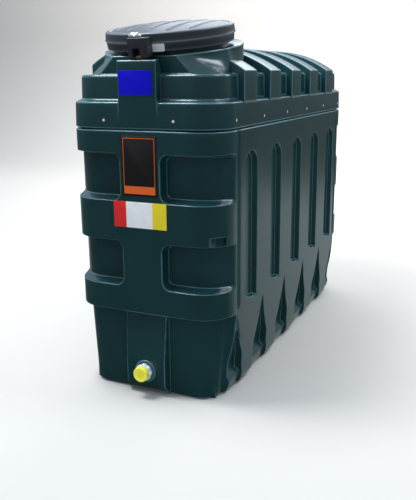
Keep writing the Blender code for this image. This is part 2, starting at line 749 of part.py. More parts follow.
def outlet_parts():
    """The outlet on the bund's foot: a raised ring, a pale collar and a yellow screw cap."""
    turn = Matrix.Rotation(math.pi / 2, 4, "X")

    def ring(name, radius, near, far, sides=28):
        middle = (0, place((near + far) / 2), OUTLET_Z)
        return rod(name, radius, far - near, middle, turn, sides)

    boss = ring("outlet_boss", BOSS_R, -0.008, -GAP)
    collar = ring("outlet_collar", COLLAR_R, -0.028, -0.008 - GAP)
    cap = ring("outlet_cap", CAP_R, -OUTLET_REACH, -0.028 - GAP)
    return [(boss, "green"), (collar, "white"), (cap, "yellow")]


def plates():
    """Thin plates on the front: their places and sizes only."""
    thin = 0.0012
    places = {
        "notice_plate": ((-0.077, 0.068), (1.235, 1.327), "blue"),
        "data_plate": ((-0.078, 0.078), (0.847, 1.081), "ink"),
        "colour_plate": ((-0.122, 0.116), (0.718, 0.823), "white"),
    }
    made = []
    for name, ((left, right), (low, high), colour) in places.items():
        plate = box(name, (left, place(-thin - GAP), low), (right, place(-GAP), high))
        made.append((plate, colour))
    reach = LID_R + 0.003 + GAP
    tag = box("lid_tag", (-0.029, -0.0015, 0.001), (0.029, 0.0, LID_STEP_N - 0.006))
    swing = Matrix.Rotation(TAG_ANGLE, 4, "Z")
    tag.data.transform(lid_frame() @ swing @ Matrix.Translation((0, -reach, 0)))
    made.append((tag, "white"))
    return made


def inner_tank():
    """The oil tank inside the bund: four walls, a top and the fittings under the hatch."""
    low = FLOOR_THICK + GAP
    high = INNER_TOP - INNER_WALL - GAP
    front, back = place(INNER_FRONT), place(INNER_BACK)
    inside = INNER_X - INNER_WALL
    parts = []
    for side, name in ((-1, "inner_tank_left_wall"), (1, "inner_tank_right_wall")):
        xs = sorted((side * inside, side * INNER_X))
        parts.append(box(name, (xs[0], front, low), (xs[1], back, high)))
    inside -= GAP
    parts.append(box("inner_tank_front_wall", (-inside, front, low),
                     (inside, front + INNER_WALL, high)))
    parts.append(box("inner_tank_back_wall", (-inside, back - INNER_WALL, low),
                     (inside, back, high)))
    parts.append(box("inner_tank_top", (-INNER_X, front, INNER_TOP - INNER_WALL),
                     (INNER_X, back, INNER_TOP)))
    made = [(part, "inner") for part in parts]
    stand = INNER_TOP + GAP

    def fitting(name, radius, height, x, y, colour, sides=28):
        upright = Matrix.Identity(4)
        return rod(name, radius, height, (x, place(y), stand + height / 2), upright, sides), colour

    made.append(fitting("inspection_cap", 0.100, 0.030, 0.020, 0.330, "black", 32))
    made.append(fitting("fill_cap", 0.038, 0.060, -0.125, 0.215, "black"))
    made.append(fitting("vent_cap", 0.030, 0.085, 0.130, 0.185, "black"))
    made.append(fitting("gauge_cap", 0.024, 0.050, -0.140, 0.400, "steel", 20))
    return made


def build():
    clear_scene()
    tank = new_collection("bunded_oil_tank")
    cutters = new_collection("cutters")
    made = [
        (bund_end("bund_front_end", False), "green"),
        (bund_end("bund_back_end", True), "green"),
        (bund_side("bund_left_side", -1), "green"),
        (bund_side("bund_right_side", 1), "green"),
        (hood_end("hood_front_end", False), "green"),
        (hood_end("hood_back_end", True), "green"),
        (hood_side("hood_left_side", -1), "green"),
        (hood_side("hood_right_side", 1), "green"),
        (front_panel(), "green"),
        (hood_deck(cutters), "green"),
        (hood_roof(cutters), "green"),
        (hatch_neck(cutters), "green"),
        (neck_shoulder("neck_left_shoulder", -1, cutters), "green"),
        (neck_shoulder("neck_right_shoulder", 1, cutters), "green"),
        (rib_stub("roof_rib_1_left", -1, RIB_LEFT_LIFT, cutters), "green"),
        (rib_stub("roof_rib_1_right", 1, 0.0, cutters), "green"),
        (hatch_lid(), "black"),
        (lid_hasp(cutters), "black"),
        (lock_dome(), "steel"),
        (lock_bolt(), "brass"),
        (hinge_bracket(), "black"),
        (hinge_knuckle(), "black"),
        (hinge_pin(), "steel"),
    ]
    floor_x = BUND_INNER_X - GAP
    floor = box("bund_floor", (-floor_x, place(BUND_INNER_Y + GAP), 0),
                (floor_x, place(LENGTH - BUND_INNER_Y - GAP), FLOOR_THICK))
    made.append((floor, "green"))
    made += [(roof_rib(number, cutters), "green") for number in range(2, RIB_COUNT + 1)]
    made += outlet_parts()
    made += plates()
    made += inner_tank()
    for item, colour in made:
        finish_object(item, tank, colour)


build()
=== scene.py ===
# %% [markdown]
# # A bunded oil tank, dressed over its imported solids
#
# A bunded tank is a tank inside a tank. Both are moulded in plastic by turning a hot mould, so every
# edge is soft, the walls bulge into bands and flutes that keep them stiff, and the colour is in the
# plastic itself. This lesson loads the plain solids, which fix every size and every moving part, and
# lays finer surfaces over them: each one is a formula on a grid, worked out with numpy.

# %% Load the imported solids
import json
import math

import bmesh
import bpy
import numpy as np
from mathutils import Matrix, Vector


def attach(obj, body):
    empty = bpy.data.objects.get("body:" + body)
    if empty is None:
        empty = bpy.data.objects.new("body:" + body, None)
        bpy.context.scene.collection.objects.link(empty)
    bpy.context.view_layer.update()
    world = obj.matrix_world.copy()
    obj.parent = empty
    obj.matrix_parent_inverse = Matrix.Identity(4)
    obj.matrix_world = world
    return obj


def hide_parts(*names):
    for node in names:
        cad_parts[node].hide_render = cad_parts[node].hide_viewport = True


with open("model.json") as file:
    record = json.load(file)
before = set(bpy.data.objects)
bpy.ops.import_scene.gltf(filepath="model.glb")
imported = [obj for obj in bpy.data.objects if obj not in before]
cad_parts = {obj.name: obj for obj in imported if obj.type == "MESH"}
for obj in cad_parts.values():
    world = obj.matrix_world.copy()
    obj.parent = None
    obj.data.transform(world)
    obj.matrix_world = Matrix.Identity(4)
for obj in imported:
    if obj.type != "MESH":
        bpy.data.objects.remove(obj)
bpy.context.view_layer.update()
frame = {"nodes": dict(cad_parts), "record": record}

# %% [markdown]
# ## The sizes that every piece shares
#
# Lengths along the tank are counted back from the front plane of the hood, because the bays of the
# long sides are easiest to count from there. One number turns them into world Y.

# %% The tank's own sizes, in metres
HALF = 0.350                      # half the width
BAY = 0.311                       # one bay of the long side
LENGTH = 6 * BAY
FRONT = -(LENGTH - 0.050) / 2     # world Y of the front plane
SPLIT = 0.155                     # how far back an end wall runs before a side wall takes over
CORNER = 0.139                    # radius of the plan's corners
INNER_HALF = 0.2855               # half the room inside the bund
SPINE = 0.0885                    # half the width of the flat spine on an end
BASE_TOP, CREASE = 0.356, 0.362   # heights, from the floor up
SEAM, SKIRT = 1.102, 1.108
WALL_TOP = SKIRT - 0.0004
LEDGE, TIER = 1.208, 1.312
TILT = math.radians(8.8)          # how far the lid leans forwards
LID_Y, LID_Z = 0.295, 1.433       # the middle of the lid's underside
print("length", LENGTH, "front plane at", round(FRONT, 4))


# %% [markdown]
# ## Small tools for working with grids
#
# A moulded wall is a grid of points with a soft step wherever the mould steps in or out. The soft step
# is the one idea used everywhere: it turns a distance from an edge into a rounded ramp.

# %% Soft steps, spaced rows and grids
def soft(t):
    """Zero below 0, one above 1, and 3t squared minus 2t cubed between."""
    t = np.clip(t, 0.0, 1.0)
    return t * t * (3.0 - 2.0 * t)


def crisp(t):
    """A straight ramp from zero to one with its two corners only slightly eased."""
    return 0.65 * np.clip(t, 0.0, 1.0) + 0.35 * soft(t)


def mix(a, b, t):
    """a plus t times the way from a to b."""
    return a + (b - a) * t


def spaced(stops, counts):
    """Evenly spaced values from stop to stop, with its own count in each stretch."""
    runs = [np.linspace(a, b, n, endpoint=False) for a, b, n in zip(stops, stops[1:], counts)]
    return np.concatenate(runs + [np.array([stops[-1]])])


print("a soft step a quarter of the way up", soft(0.25))


# %% Grids, and places given in the tank's and in the lid's own directions
def quads(rows, cols, wrap_rows=False, wrap_cols=False):
    """Corner numbers of each square of a grid: (i, j), (i, j+1), (i+1, j+1), (i+1, j)."""
    i = np.arange(rows if wrap_rows else rows - 1)[:, None]
    j = np.arange(cols if wrap_cols else cols - 1)[None, :]
    i2, j2 = (i + 1) % rows, (j + 1) % cols
    corners = np.broadcast_arrays(i * cols + j, i * cols + j2, i2 * cols + j2, i2 * cols + j)
    return np.stack(corners, axis=-1).reshape(-1, 4)


def to_world(x, back, z):
    """Points from X, the distance back from the front plane, and Z."""
    x, back, z = np.broadcast_arrays(x, back, z)
    return np.stack([x, back + FRONT, z], axis=-1)


def lid_to_world(x, v, n):
    """Points given in the lid's own frame: v runs back along the tilt, n stands off it."""
    x, v, n = np.broadcast_arrays(x, v, n)
    back = LID_Y + v * math.cos(TILT) - n * math.sin(TILT)
    return to_world(x, back, LID_Z + v * math.sin(TILT) + n * math.cos(TILT))


# %% Turning points and faces into a finished piece
pieces = {}


def build(name, points, faces, body="tank", stands_for=(), crease=None):
    """One closed mesh: doubles merged, faces turned outwards, shaded smooth, riding on a body.

    crease is the angle in degrees past which an edge stays sharp.
    """
    mesh = bpy.data.meshes.new(name)
    corners = faces.tolist() if isinstance(faces, np.ndarray) else list(faces)
    mesh.from_pydata(np.asarray(points, float).reshape(-1, 3).tolist(), [], corners)
    work = bmesh.new()
    work.from_mesh(mesh)
    bmesh.ops.remove_doubles(work, verts=work.verts, dist=0.000005)
    bmesh.ops.dissolve_degenerate(work, edges=work.edges, dist=0.0000005)
    bmesh.ops.recalc_face_normals(work, faces=work.faces)
    work.to_mesh(mesh)
    work.free()
    mesh.shade_smooth()
    if crease is not None:
        mesh.set_sharp_from_angle(angle=math.radians(crease))
    piece = bpy.data.objects.new(name, mesh)
    bpy.context.scene.collection.objects.link(piece)
    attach(piece, body)
    if stands_for:
        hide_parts(*stands_for)
    pieces[name] = piece
    print(f"{name}: {len(mesh.vertices)} points, {len(mesh.polygons)} faces")
    return piece


def join_parts(parts):
    """Several (points, faces) as one pair, with the later faces counted on from the earlier."""
    points, faces, count = [], [], 0
    for part_points, part_faces in parts:
        flat = np.asarray(part_points, float).reshape(-1, 3)
        listed = part_faces.tolist() if isinstance(part_faces, np.ndarray) else part_faces
        points.append(flat)
        faces += [[corner + count for corner in face] for face in listed]
        count += len(flat)
    return np.concatenate(points), faces


# %% [markdown]
# ## The bund's long sides
#
# Each side has five bays. Above a crease there is one hollow flute to a bay, with an arched top and a
# pointed foot; below it the wall leans in and stands on prow-shaped feet with V hollows between them.
# All of it is one number per point: how far the wall sits in from the widest plane. The columns of the
# grid follow the edges of the flutes and of the feet, so that those edges stay crisp.

# %% Rows shared by the sides and the ends
fillet = np.linspace(0.0, math.pi / 2, 8)
toe_rows = np.stack([0.020 * (1 - np.cos(fillet)), 0.020 * (1 - np.sin(fillet))])
wall_z = spaced(
    [0.024, 0.100, 0.180, 0.346, 0.368, 0.430, 0.466, 0.492, 0.530, 0.612, 0.648, 0.664, 0.700, 0.820,
     0.846, 0.884, 0.940, 0.998, 1.018, 1.096],
    [16, 14, 24, 12, 22, 4, 15, 9, 5, 8, 12, 12, 6, 15, 9, 5, 15, 15, 5])
rim = np.linspace(0.0, math.pi / 2, 5)[1:]
rim_rows = np.stack([1.097 + 0.005 * np.sin(rim), 0.005 * (1 - np.cos(rim))])
lip_rows = np.array([[SEAM, WALL_TOP], [0.013, 0.013]])
BUND_Z = np.concatenate([toe_rows[0], wall_z, rim_rows[0], lip_rows[0]])
BUND_INSET = np.concatenate([toe_rows[1], np.zeros(len(wall_z)), rim_rows[1], lip_rows[1]])
print("rows up the bund", len(BUND_Z))


# %% An outer grid and a plain inner face as one shell
def closed_wall(name, outer, inner, node):
    """One closed piece: both grids, a strip along the bottom and the top, and one face at each end.

    The inner grid has two rows and as many columns as the outer one.
    """
    rows, cols = outer.shape[:2]
    bottom = rows * cols + np.arange(cols)
    top = bottom + cols
    faces = quads(rows, cols).tolist() + (quads(2, cols) + rows * cols).tolist()
    first, last = np.arange(cols), (rows - 1) * cols + np.arange(cols)
    faces += np.stack([first[:-1], first[1:], bottom[1:], bottom[:-1]], 1).tolist()
    faces += np.stack([last[:-1], last[1:], top[1:], top[:-1]], 1).tolist()
    for column, low, high in ((0, bottom[0], top[0]), (cols - 1, bottom[-1], top[-1])):
        faces.append([int(low)] + [row * cols + column for row in range(rows)] + [int(high)])
    points = np.concatenate([outer.reshape(-1, 3), inner.reshape(-1, 3)])
    return build(name, points, faces, stands_for=[node])


# %% How far the side wall sits in
def foot_half(z):
    """Half the width of a foot at a height, read from a list of heights."""
    return np.interp(z, [0.0, 0.125, 0.154, 0.183, 0.253, CREASE],
                     [0.062, 0.063, 0.068, 0.086, 0.119, 0.1545])


def corner_plan(z):
    """The base's side inset and corner radius, from the crease down to the floor."""
    below = np.clip((BASE_TOP - z) / BASE_TOP, 0, 1)
    step = soft((BASE_TOP + 0.004 - z) / 0.010)
    return step * mix(0.020, 0.060, below), mix(CORNER, mix(0.120, 0.075, below), step)


def flute(offset, z):
    """Depth of a flute: a straight-walled hollow inside an outline with an arched top and a V foot."""
    top, half, arch = 1.010, 0.0745, 0.058
    dy = np.abs(offset)
    rise = np.clip((z - (top - arch)) / arch, 0, 1)
    half_here = half * np.sqrt(np.clip(1 - rise ** 2, 0, 1))
    side = (half_here - dy) * np.sqrt(np.clip(1 - 0.55 * rise ** 2, 0, 1))
    lip = np.interp(offset, [-0.070, 0.0, 0.070], [0.410, 0.380, 0.372])
    return 0.022 * np.minimum(crisp(side / 0.0165), crisp((z - lip) / 0.007))


def pocket(back, z):
    """Depth of the hollow between two feet: steep walls, a back that leans in, and a sloping sill."""
    centre = (np.clip(np.round(back / BAY - 0.5), 0, 5) + 0.5) * BAY
    on_corner = (back < BAY / 2) | (back > LENGTH - BAY / 2)
    reach = (BAY / 2 - foot_half(z)) * np.where(on_corner, 0.45, 1.0) - np.abs(back - centre)
    deep = 0.032 * np.clip((CREASE - z) / (CREASE - 0.12), 0, 1)
    sill = mix(0.40, 1.0, crisp((z - 0.060) / 0.026))
    return np.minimum(deep, 0.032 * sill) * crisp(reach / np.where(on_corner, 0.024, 0.011))


def face_inset(z):
    """How far the feet lean in from the crease down, with their toes rounded under."""
    fall = np.clip((CREASE - z) / (CREASE - 0.10), 0.0, 1.0)
    toe = np.clip((0.062 - z) / 0.062, 0, 1)
    return 0.014 * fall + 0.036 * (1 - np.sqrt(np.clip(1 - toe ** 2, 0, 1)))


def side_inset(back, z):
    """Inset of the long wall: groove and flutes above the crease, feet and hollows below it."""
    along = np.minimum(back, LENGTH - back)
    bay = np.clip(np.round(back / BAY), 1, 5)
    groove_end = soft((z - CREASE - 0.006) / 0.020)
    groove = 0.010 * soft(1 - np.abs(along - 0.171) / 0.017) * groove_end
    above = groove + flute(back - bay * BAY, z)
    below = np.minimum(face_inset(z) + pocket(back, z), 0.058)
    return np.where(z > CREASE, above, below)


print("depth of a flute", flute(0.0, 0.7), "and of a pocket", round(float(pocket(1.5 * BAY, 0.15)), 4))


# %% One long side wall as a closed shell
def side_columns(z):
    """Distances back for each row: fine where the flute's or the foot's edge runs, coarse between."""
    edge = foot_half(z)
    lift = soft((z - CREASE) / 0.012)
    inner = np.where(z < CREASE, edge - 0.001, mix(0.1500, 0.0560, lift))
    outer = np.where(z < CREASE, edge + 0.012, mix(0.1540, 0.0765, lift))
    inner, outer = inner[:, None], np.minimum(outer[:, None], BAY / 2 - 0.001)
    a = np.linspace(0, 1, 14, endpoint=False)[None, :]
    b = np.linspace(0, 1, 10, endpoint=False)[None, :]
    c = np.linspace(0, 1, 11)[None, :]
    half = np.concatenate([inner * a, mix(inner, outer, b), mix(outer, BAY / 2 + 0 * inner, c)], axis=1)
    bays = []
    for bay in range(1, 6):
        whole = np.concatenate([bay * BAY - half[:, ::-1], bay * BAY + half[:, 1:]], axis=1)
        bays.append(whole if bay == 1 else whole[:, 1:])
    back = np.concatenate(bays, axis=1)
    first, last = BAY / 2, LENGTH - BAY / 2
    from_front = mix(SPLIT, back, np.clip((back - first) / 0.050, 0, 1))
    from_back = mix(LENGTH - SPLIT, back, np.clip((last - back) / 0.050, 0, 1))
    return np.where(back < LENGTH / 2, from_front, from_back)


def bund_side(name, side, node):
    """The wall's grid, set in from the widest plane, and a flat inner face."""
    back = side_columns(BUND_Z)
    inset = side_inset(back, BUND_Z[:, None]) + BUND_INSET[:, None]
    outer = to_world(side * (HALF - inset), back, BUND_Z[:, None])
    inner_back = np.linspace(SPLIT, LENGTH - SPLIT, back.shape[1])
    inner = to_world(side * INNER_HALF, inner_back[None, :], np.array([0.0, WALL_TOP])[:, None])
    return closed_wall(name, outer, inner, node)


bund_side("bund_wall_right", 1, "bund_right_side")
bund_side("bund_wall_left", -1, "bund_left_side")


# %% [markdown]
# ## The bund's two ends
#
# Each end has three bands, two pairs of hollows and a flat spine up the middle. The mould opens along
# the tank, so the hollows are straight cuts: the same rounded outline pushed further back, which is why
# they run out round the corners. Each row of the grid is that outline pushed back by its own depth. Over
# one hollow of the front a small notch is cut up into the middle band.

# %% Depth of the hollows and the stepped-in base
HOLLOWS = [(0.468, 0.660), (0.822, 1.014)]
STEEP, SLOPED = 0.009, 0.016


def hollow(x, z, low, high, radius=0.038, depth=0.046):
    """Depth of a hollow beside the spine: a soft step of the distance inside a rounded outline.

    The walls are steep, and the sill below slopes.
    """
    dx = np.abs(x) - SPINE
    rise, fall = z - low, high - z
    dz = np.minimum(rise, fall)
    ax, az = np.clip(radius - dx, 0, None), np.clip(radius - dz, 0, None)
    corner = radius - np.hypot(ax, az)
    inside = np.where((ax > 0) & (az > 0), corner, np.minimum(dx, dz))
    edge = np.where(rise < fall, SLOPED, STEEP)
    width = (STEEP * ax + edge * az) / np.maximum(ax + az, 1e-9)
    width = np.where((ax + az) <= 0, np.where(dx < dz, STEEP, edge), width)
    return depth * crisp(inside / width)


def end_depth(x, z):
    """How far the end wall is pushed back: two hollows, the base, and the spine's rounded foot."""
    cut = sum(hollow(x, z, low, high) for low, high in HOLLOWS)
    base = hollow(x, z, -1.0, BASE_TOP + 0.004, radius=0.020, depth=0.036)
    foot = 0.034 * np.clip(1 - z / 0.046, 0, 1) ** 1.6
    under_band = crisp((BASE_TOP + 0.004 - z) / 0.008) * np.clip((z - 0.150) / 0.206, 0, 1)
    return cut + np.maximum(base, np.maximum(foot, 0.020 * under_band))


print("depth of a hollow", end_depth(0.2, 0.56), "and of the base", round(float(end_depth(0.2, 0.2)), 4))


# %% One end wall as a closed shell
WAIST_ROW = 100


def end_outline(z, extra):
    """The right half of each row: straight front, rounded corner, and the start of the side.

    Arc length from the corner's start is spread evenly, so that rows of unlike depth still match.
    """
    inset, radius = corner_plan(z)
    push = end_depth(0.2, z) + extra
    half = HALF - inset - extra
    start = half - radius
    fixed = spaced([0.0, 0.078, 0.104, 0.150], [6, 17, 13])[None, :]
    share = np.linspace(0, 1, 7)[None, 1:]
    x_front = np.concatenate([fixed + 0 * start[:, None], mix(0.150, start[:, None], share)], axis=1)
    y_front = end_depth(x_front, z[:, None]) + extra[:, None]
    swing = np.arccos(np.clip((push + radius - SPLIT) / radius, -1, 1))
    swing = np.minimum(swing, math.pi / 2)
    tail = np.clip(SPLIT - (push + radius), 0, None)
    length = radius * swing + tail
    run = np.linspace(0, 1, 81)[None, 1:] * length[:, None]
    angle = np.minimum(run / radius[:, None], swing[:, None])
    x = start[:, None] + radius[:, None] * np.sin(angle)
    y = push[:, None] + radius[:, None] * (1 - np.cos(angle))
    y = y + np.clip(run - (radius * swing)[:, None], 0, None)
    join = soft((y - 0.105) / (SPLIT - 0.105))
    low = z[:, None] < CREASE
    plain = np.where(low, face_inset(z[:, None]), side_inset(y, z[:, None]))
    x = mix(x, HALF - plain - extra[:, None], join)
    wall = HALF - side_inset(y, z[:, None]) - extra[:, None]
    x = np.where(low & (pocket(y, z[:, None]) > 0), np.minimum(x, wall), x)
    x[:, -1] = HALF - side_inset(np.full_like(z, SPLIT), z) - extra
    y[:, -1] = SPLIT
    return np.concatenate([x_front, x], axis=1), np.concatenate([y_front, y], axis=1)


def notch_depth(x, z):
    """Depth of the front's notch: out to the hollow's depth, between two upright edges, under a flat top."""
    beside = crisp((x - 0.290) / 0.004) * crisp((0.336 - x) / 0.004) * crisp((0.6960 - z) / 0.003)
    missing = np.clip(0.034 - end_depth(0.2, z), 0, None) * (z > 0.640)
    return missing * beside


def bund_end(name, far, node):
    """The right half and its mirror as one outer grid, and a plain inner face bent round three sides."""
    x, y = end_outline(BUND_Z, BUND_INSET)
    x = np.concatenate([-x[:, ::-1], x[:, 1:]], axis=1)
    y = np.concatenate([y[:, ::-1], y[:, 1:]], axis=1)
    if not far:
        y = y + notch_depth(x, BUND_Z[:, None])
    cols = x.shape[1]
    reach = np.abs(np.arange(cols) - cols // 2) / (cols // 2)
    waist = x[WAIST_ROW]
    inner_x = np.where(reach > 0.80, np.sign(waist) * INNER_HALF, waist * INNER_HALF / HALF)
    inner_x = np.clip(inner_x, -INNER_HALF, INNER_HALF)
    inner_y = mix(0.0745, SPLIT, np.clip((reach - 0.80) / 0.20, 0, 1))
    if far:
        y, inner_y = LENGTH - y, LENGTH - inner_y
    outer = to_world(x, y, BUND_Z[:, None])
    inner = to_world(inner_x[None, :], inner_y[None, :], np.array([0.0, WALL_TOP])[:, None])
    return closed_wall(name, outer, inner, node)


bund_end("bund_end_front", False, "bund_front_end")
bund_end("bund_end_back", True, "bund_back_end")


# %% [markdown]
# ## The hood's ring: skirt, ledge, tier and deck
#
# The hood is one moulding that drops over the bund. Its ring is a profile carried round the plan. In
# the middle of the front the profile changes to that of a flush panel, which stands up to the lock, and
# a soft step between the two profiles makes the panel's rounded sides.

# %% The plan and the two profiles
def plan_path():
    """Points and outward directions round the plan, as (x, back) and (nx, nb), counted from the front.

    Half the front and a quarter round are followed by a side, then by the same turned back to front, and
    the whole by its mirror image.
    """
    front = spaced([0.0, 0.0815, 0.0895, 0.120, HALF - CORNER], [8, 12, 5, 6])
    swing = np.linspace(0, math.pi / 2, 26)[1:]
    x = np.concatenate([front, HALF - CORNER + CORNER * np.sin(swing)])
    y = np.concatenate([0 * front, CORNER * (1 - np.cos(swing))])
    nx = np.concatenate([0 * front, np.sin(swing)])
    ny = np.concatenate([-np.ones(len(front)), -np.cos(swing)])
    side = spaced([CORNER, 0.60, LENGTH - CORNER], [22, 30])[1:]
    x = np.concatenate([x, np.full(len(side), HALF), x[-2::-1]])
    y = np.concatenate([y, side, LENGTH - y[-2::-1]])
    nx = np.concatenate([nx, np.ones(len(side)), nx[-2::-1]])
    ny = np.concatenate([ny, np.zeros(len(side)), -ny[-2::-1]])
    mirrored = slice(-2, 0, -1)
    return (np.concatenate([x, -x[mirrored]]), np.concatenate([y, y[mirrored]]),
            np.concatenate([nx, -nx[mirrored]]), np.concatenate([ny, ny[mirrored]]))


def arc_points(start, end, count, bulge):
    """A quarter round from start to end; bulge picks which way it rounds."""
    t = np.linspace(0, math.pi / 2, count)[1:]
    a, b = (np.sin(t), 1 - np.cos(t)) if bulge else (1 - np.cos(t), np.sin(t))
    return np.stack([mix(start[0], end[0], a), mix(start[1], end[1], b)], axis=1)


def flat_front(front, radius, cut):
    """Distance from an axis to a circle whose front is cut off flat; front is the cosine of the angle."""
    return np.minimum(radius, cut / np.maximum(front, 0.2))


def ring_profiles():
    """The tier's profile and the panel's, row for row, as (inset, height)."""
    skirt, lean = 0.0003, 0.0024
    tier = [np.array([[0.016, SKIRT + 0.0006], [0.005, SKIRT]]),
            arc_points((0.005, SKIRT), (skirt, SKIRT + 0.005), 6, True),
            np.stack([np.linspace(skirt, skirt + lean, 9), np.linspace(SKIRT + 0.010, LEDGE - 0.007, 9)], 1),
            arc_points((skirt + lean, LEDGE - 0.007), (0.0090, LEDGE + 0.0008), 7, False),
            np.array([[0.012, LEDGE + 0.0028], [0.018, LEDGE + 0.0055], [0.0225, LEDGE + 0.0075]]),
            arc_points((0.0225, LEDGE + 0.0075), (0.0300, LEDGE + 0.0150), 7, True),
            np.stack([np.linspace(0.0300, 0.0320, 9), np.linspace(LEDGE + 0.020, TIER - 0.012, 9)], 1),
            arc_points((0.0320, TIER - 0.012), (0.0440, TIER), 9, False)]
    tier = np.concatenate(tier)
    panel = tier.copy()
    panel[:, 0] = np.where(tier[:, 1] > SKIRT + 0.005, skirt, tier[:, 0])
    top = arc_points((skirt, 1.357), (0.0085, 1.3655), 8, False)
    changed = 17
    wall = np.linspace(panel[-changed - 1, 1], 1.357, changed - len(top))
    panel[-changed:] = np.concatenate([np.stack([0 * wall + skirt, wall], 1), top])
    return tier, panel


print("points round the plan", len(plan_path()[0]), "rows up the ring", len(ring_profiles()[0]))


# %% The ring itself
def hood_ring():
    """The ring: outer profile, deck in to the neck's wall, and a plain inner face back to the skirt."""
    x, y, nx, ny = plan_path()
    tier, panel = ring_profiles()
    weight = soft((np.abs(x) - 0.0825) / 0.0065)
    weight = np.where(y > 0.5, 1.0, weight)
    inset = mix(panel[:, :1], tier[:, :1], weight[None, :])
    high = mix(panel[:, 1:], tier[:, 1:], weight[None, :])
    outer_x, outer_y = x - nx * inset, y - ny * inset
    edge_x, edge_y, edge_z = outer_x[-1], outer_y[-1], high[-1]
    to_axis = np.hypot(edge_x, LID_Y - edge_y)
    reach = flat_front((LID_Y - edge_y) / to_axis, 0.256, 0.2265)
    ring_x = edge_x / to_axis * reach
    ring_y = LID_Y + (edge_y - LID_Y) / to_axis * reach
    plain_x, plain_y = x - nx * 0.062, y - ny * 0.062
    near = soft((0.66 - y) / 0.10)
    in_x, in_y = mix(plain_x, ring_x, near), mix(plain_y, ring_y, near)
    steps = np.linspace(0, 1, 6)[1:, None]
    deck_x, deck_y = mix(edge_x, in_x, steps), mix(edge_y, in_y, steps)
    deck_z = edge_z + 0 * deck_x
    foot_x, foot_y = (x - nx * 0.058)[None, :], (y - ny * 0.058)[None, :]
    under_z = np.stack([np.full_like(x, TIER - 0.011), np.full_like(x, TIER - 0.012)])
    foot_z = np.full_like(x, SKIRT + 0.0006)[None, :]
    all_x = np.concatenate([outer_x, deck_x, in_x[None, :], foot_x, foot_x])
    all_y = np.concatenate([outer_y, deck_y, in_y[None, :], foot_y, foot_y])
    all_z = np.concatenate([high, deck_z, under_z, foot_z])
    faces = quads(*all_x.shape, wrap_rows=True, wrap_cols=True)
    nodes = ["hood_front_end", "hood_back_end", "hood_left_side", "hood_right_side", "hood_deck",
             "hood_front_panel"]
    return build("hood_ring", to_world(all_x, all_y, all_z), faces, stands_for=nodes)


hood_ring()


# %% [markdown]
# ## The arched roof
#
# Between the ribs the roof is a shallow round arch that stands on a narrow strip of deck, and at the back
# it sinks and closes with rounded hips. The join with the deck is a larger-of-two-heights with its corner
# smoothed, which is just how a moulding tool would round it.

# %% Larger and smaller with a rounded corner, and the arch
def soft_min(a, b, k):
    """The smaller of two values, with the corner between them rounded over about k."""
    h = np.clip(0.5 + 0.5 * (b - a) / k, 0, 1)
    return mix(b, a, h) - k * h * (1 - h)


def soft_max(a, b, k):
    """The larger of two values, with the corner between them filled over about k."""
    return -soft_min(-a, -b, k)


def arc_height(x, half, rise):
    """Height over its feet of a round arch with this half-width and rise."""
    radius = (half ** 2 + rise ** 2) / (2 * rise)
    return rise - radius + np.sqrt(np.clip(radius ** 2 - x ** 2, 0, None))


print("the arch over a quarter of its width", round(float(arc_height(0.147, 0.294, 0.0835)), 4))


# %% The roof shell
ROOF_END = LENGTH - 0.056
ROOF_HALF, ROOF_RISE = 0.294, 0.0835
NECK_Y, NECK_R, NECK_FRONT = 0.323, 0.286, 0.063


def roof_height(x, back):
    """Height of the roof: the arch, narrowing and sinking towards its rounded back, over the deck."""
    over = np.clip(back - (ROOF_END - 0.084), 0, 0.084)
    half = ROOF_HALF - 0.084 + np.sqrt(np.clip(0.084 ** 2 - over ** 2, 0, None))
    fall = np.clip((back - (ROOF_END - 0.17)) / 0.17, 0, 1)
    rise = np.maximum(ROOF_RISE * np.sqrt(np.clip(1 - fall ** 2.4, 0, 1)), 0.001)
    arch = arc_height(x, ROOF_HALF, ROOF_RISE) * rise / ROOF_RISE
    edge = (half - np.abs(x)) * 2.2
    return TIER - 0.0008 + soft_max(np.minimum(arch, edge), 0.0, 0.009)


def shell_faces(rows, cols):
    """Faces of an upper grid and a lower grid of the same shape, closed round all four sides."""
    upper = quads(rows, cols)
    lower = quads(rows, cols)[:, ::-1] + rows * cols
    i, j = np.arange(rows), np.arange(cols)
    edges = [i * cols, i * cols + cols - 1, j, (rows - 1) * cols + j]
    strips = [np.stack([e[:-1], e[1:], e[1:] + rows * cols, e[:-1] + rows * cols], 1) for e in edges]
    return np.concatenate([upper, lower] + strips)


def roof_sheet(x, back):
    """A sheet of roof over a grid of places, 9 mm thick."""
    over = to_world(x, back, roof_height(x, back))
    under = over - np.array([0.0, 0.0, 0.009])
    return np.concatenate([over.reshape(-1, 3), under.reshape(-1, 3)]), shell_faces(*over.shape[:2])


def roof_parts():
    """The sheet behind the neck, and a narrow one on each side of the neck."""
    reach = np.concatenate([np.linspace(-0.306, -0.264, 15), np.linspace(-0.256, 0.256, 53),
                            np.linspace(0.264, 0.306, 15)])[None, :]
    hips = ROOF_END + 0.006 - 0.176 * np.linspace(1, 0, 34) ** 1.3
    back = np.concatenate([np.linspace(0.596, ROOF_END - 0.18, 36), hips])[:, None]
    over = np.clip(back - (LENGTH - CORNER), 0, 0.093)
    deck_half = HALF - CORNER + np.sqrt(0.095 ** 2 - over ** 2)
    parts = [roof_sheet(reach * deck_half / 0.306, back + 0 * reach)]
    back = np.linspace(0.340, 0.596, 30)[:, None]
    inside = np.sqrt(np.clip((NECK_R - 0.007) ** 2 - (back - NECK_Y) ** 2, 0, None))
    share = 1 - (1 - np.linspace(0, 1, 30)[None, :]) ** 1.5
    for side in (1, -1):
        x = mix(inside, 0.306, share)
        parts.append(roof_sheet(side * x, back + 0 * x))
    return parts


points, faces = join_parts(roof_parts())
build("hood_arch", points, faces, stands_for=["hood_roof"])


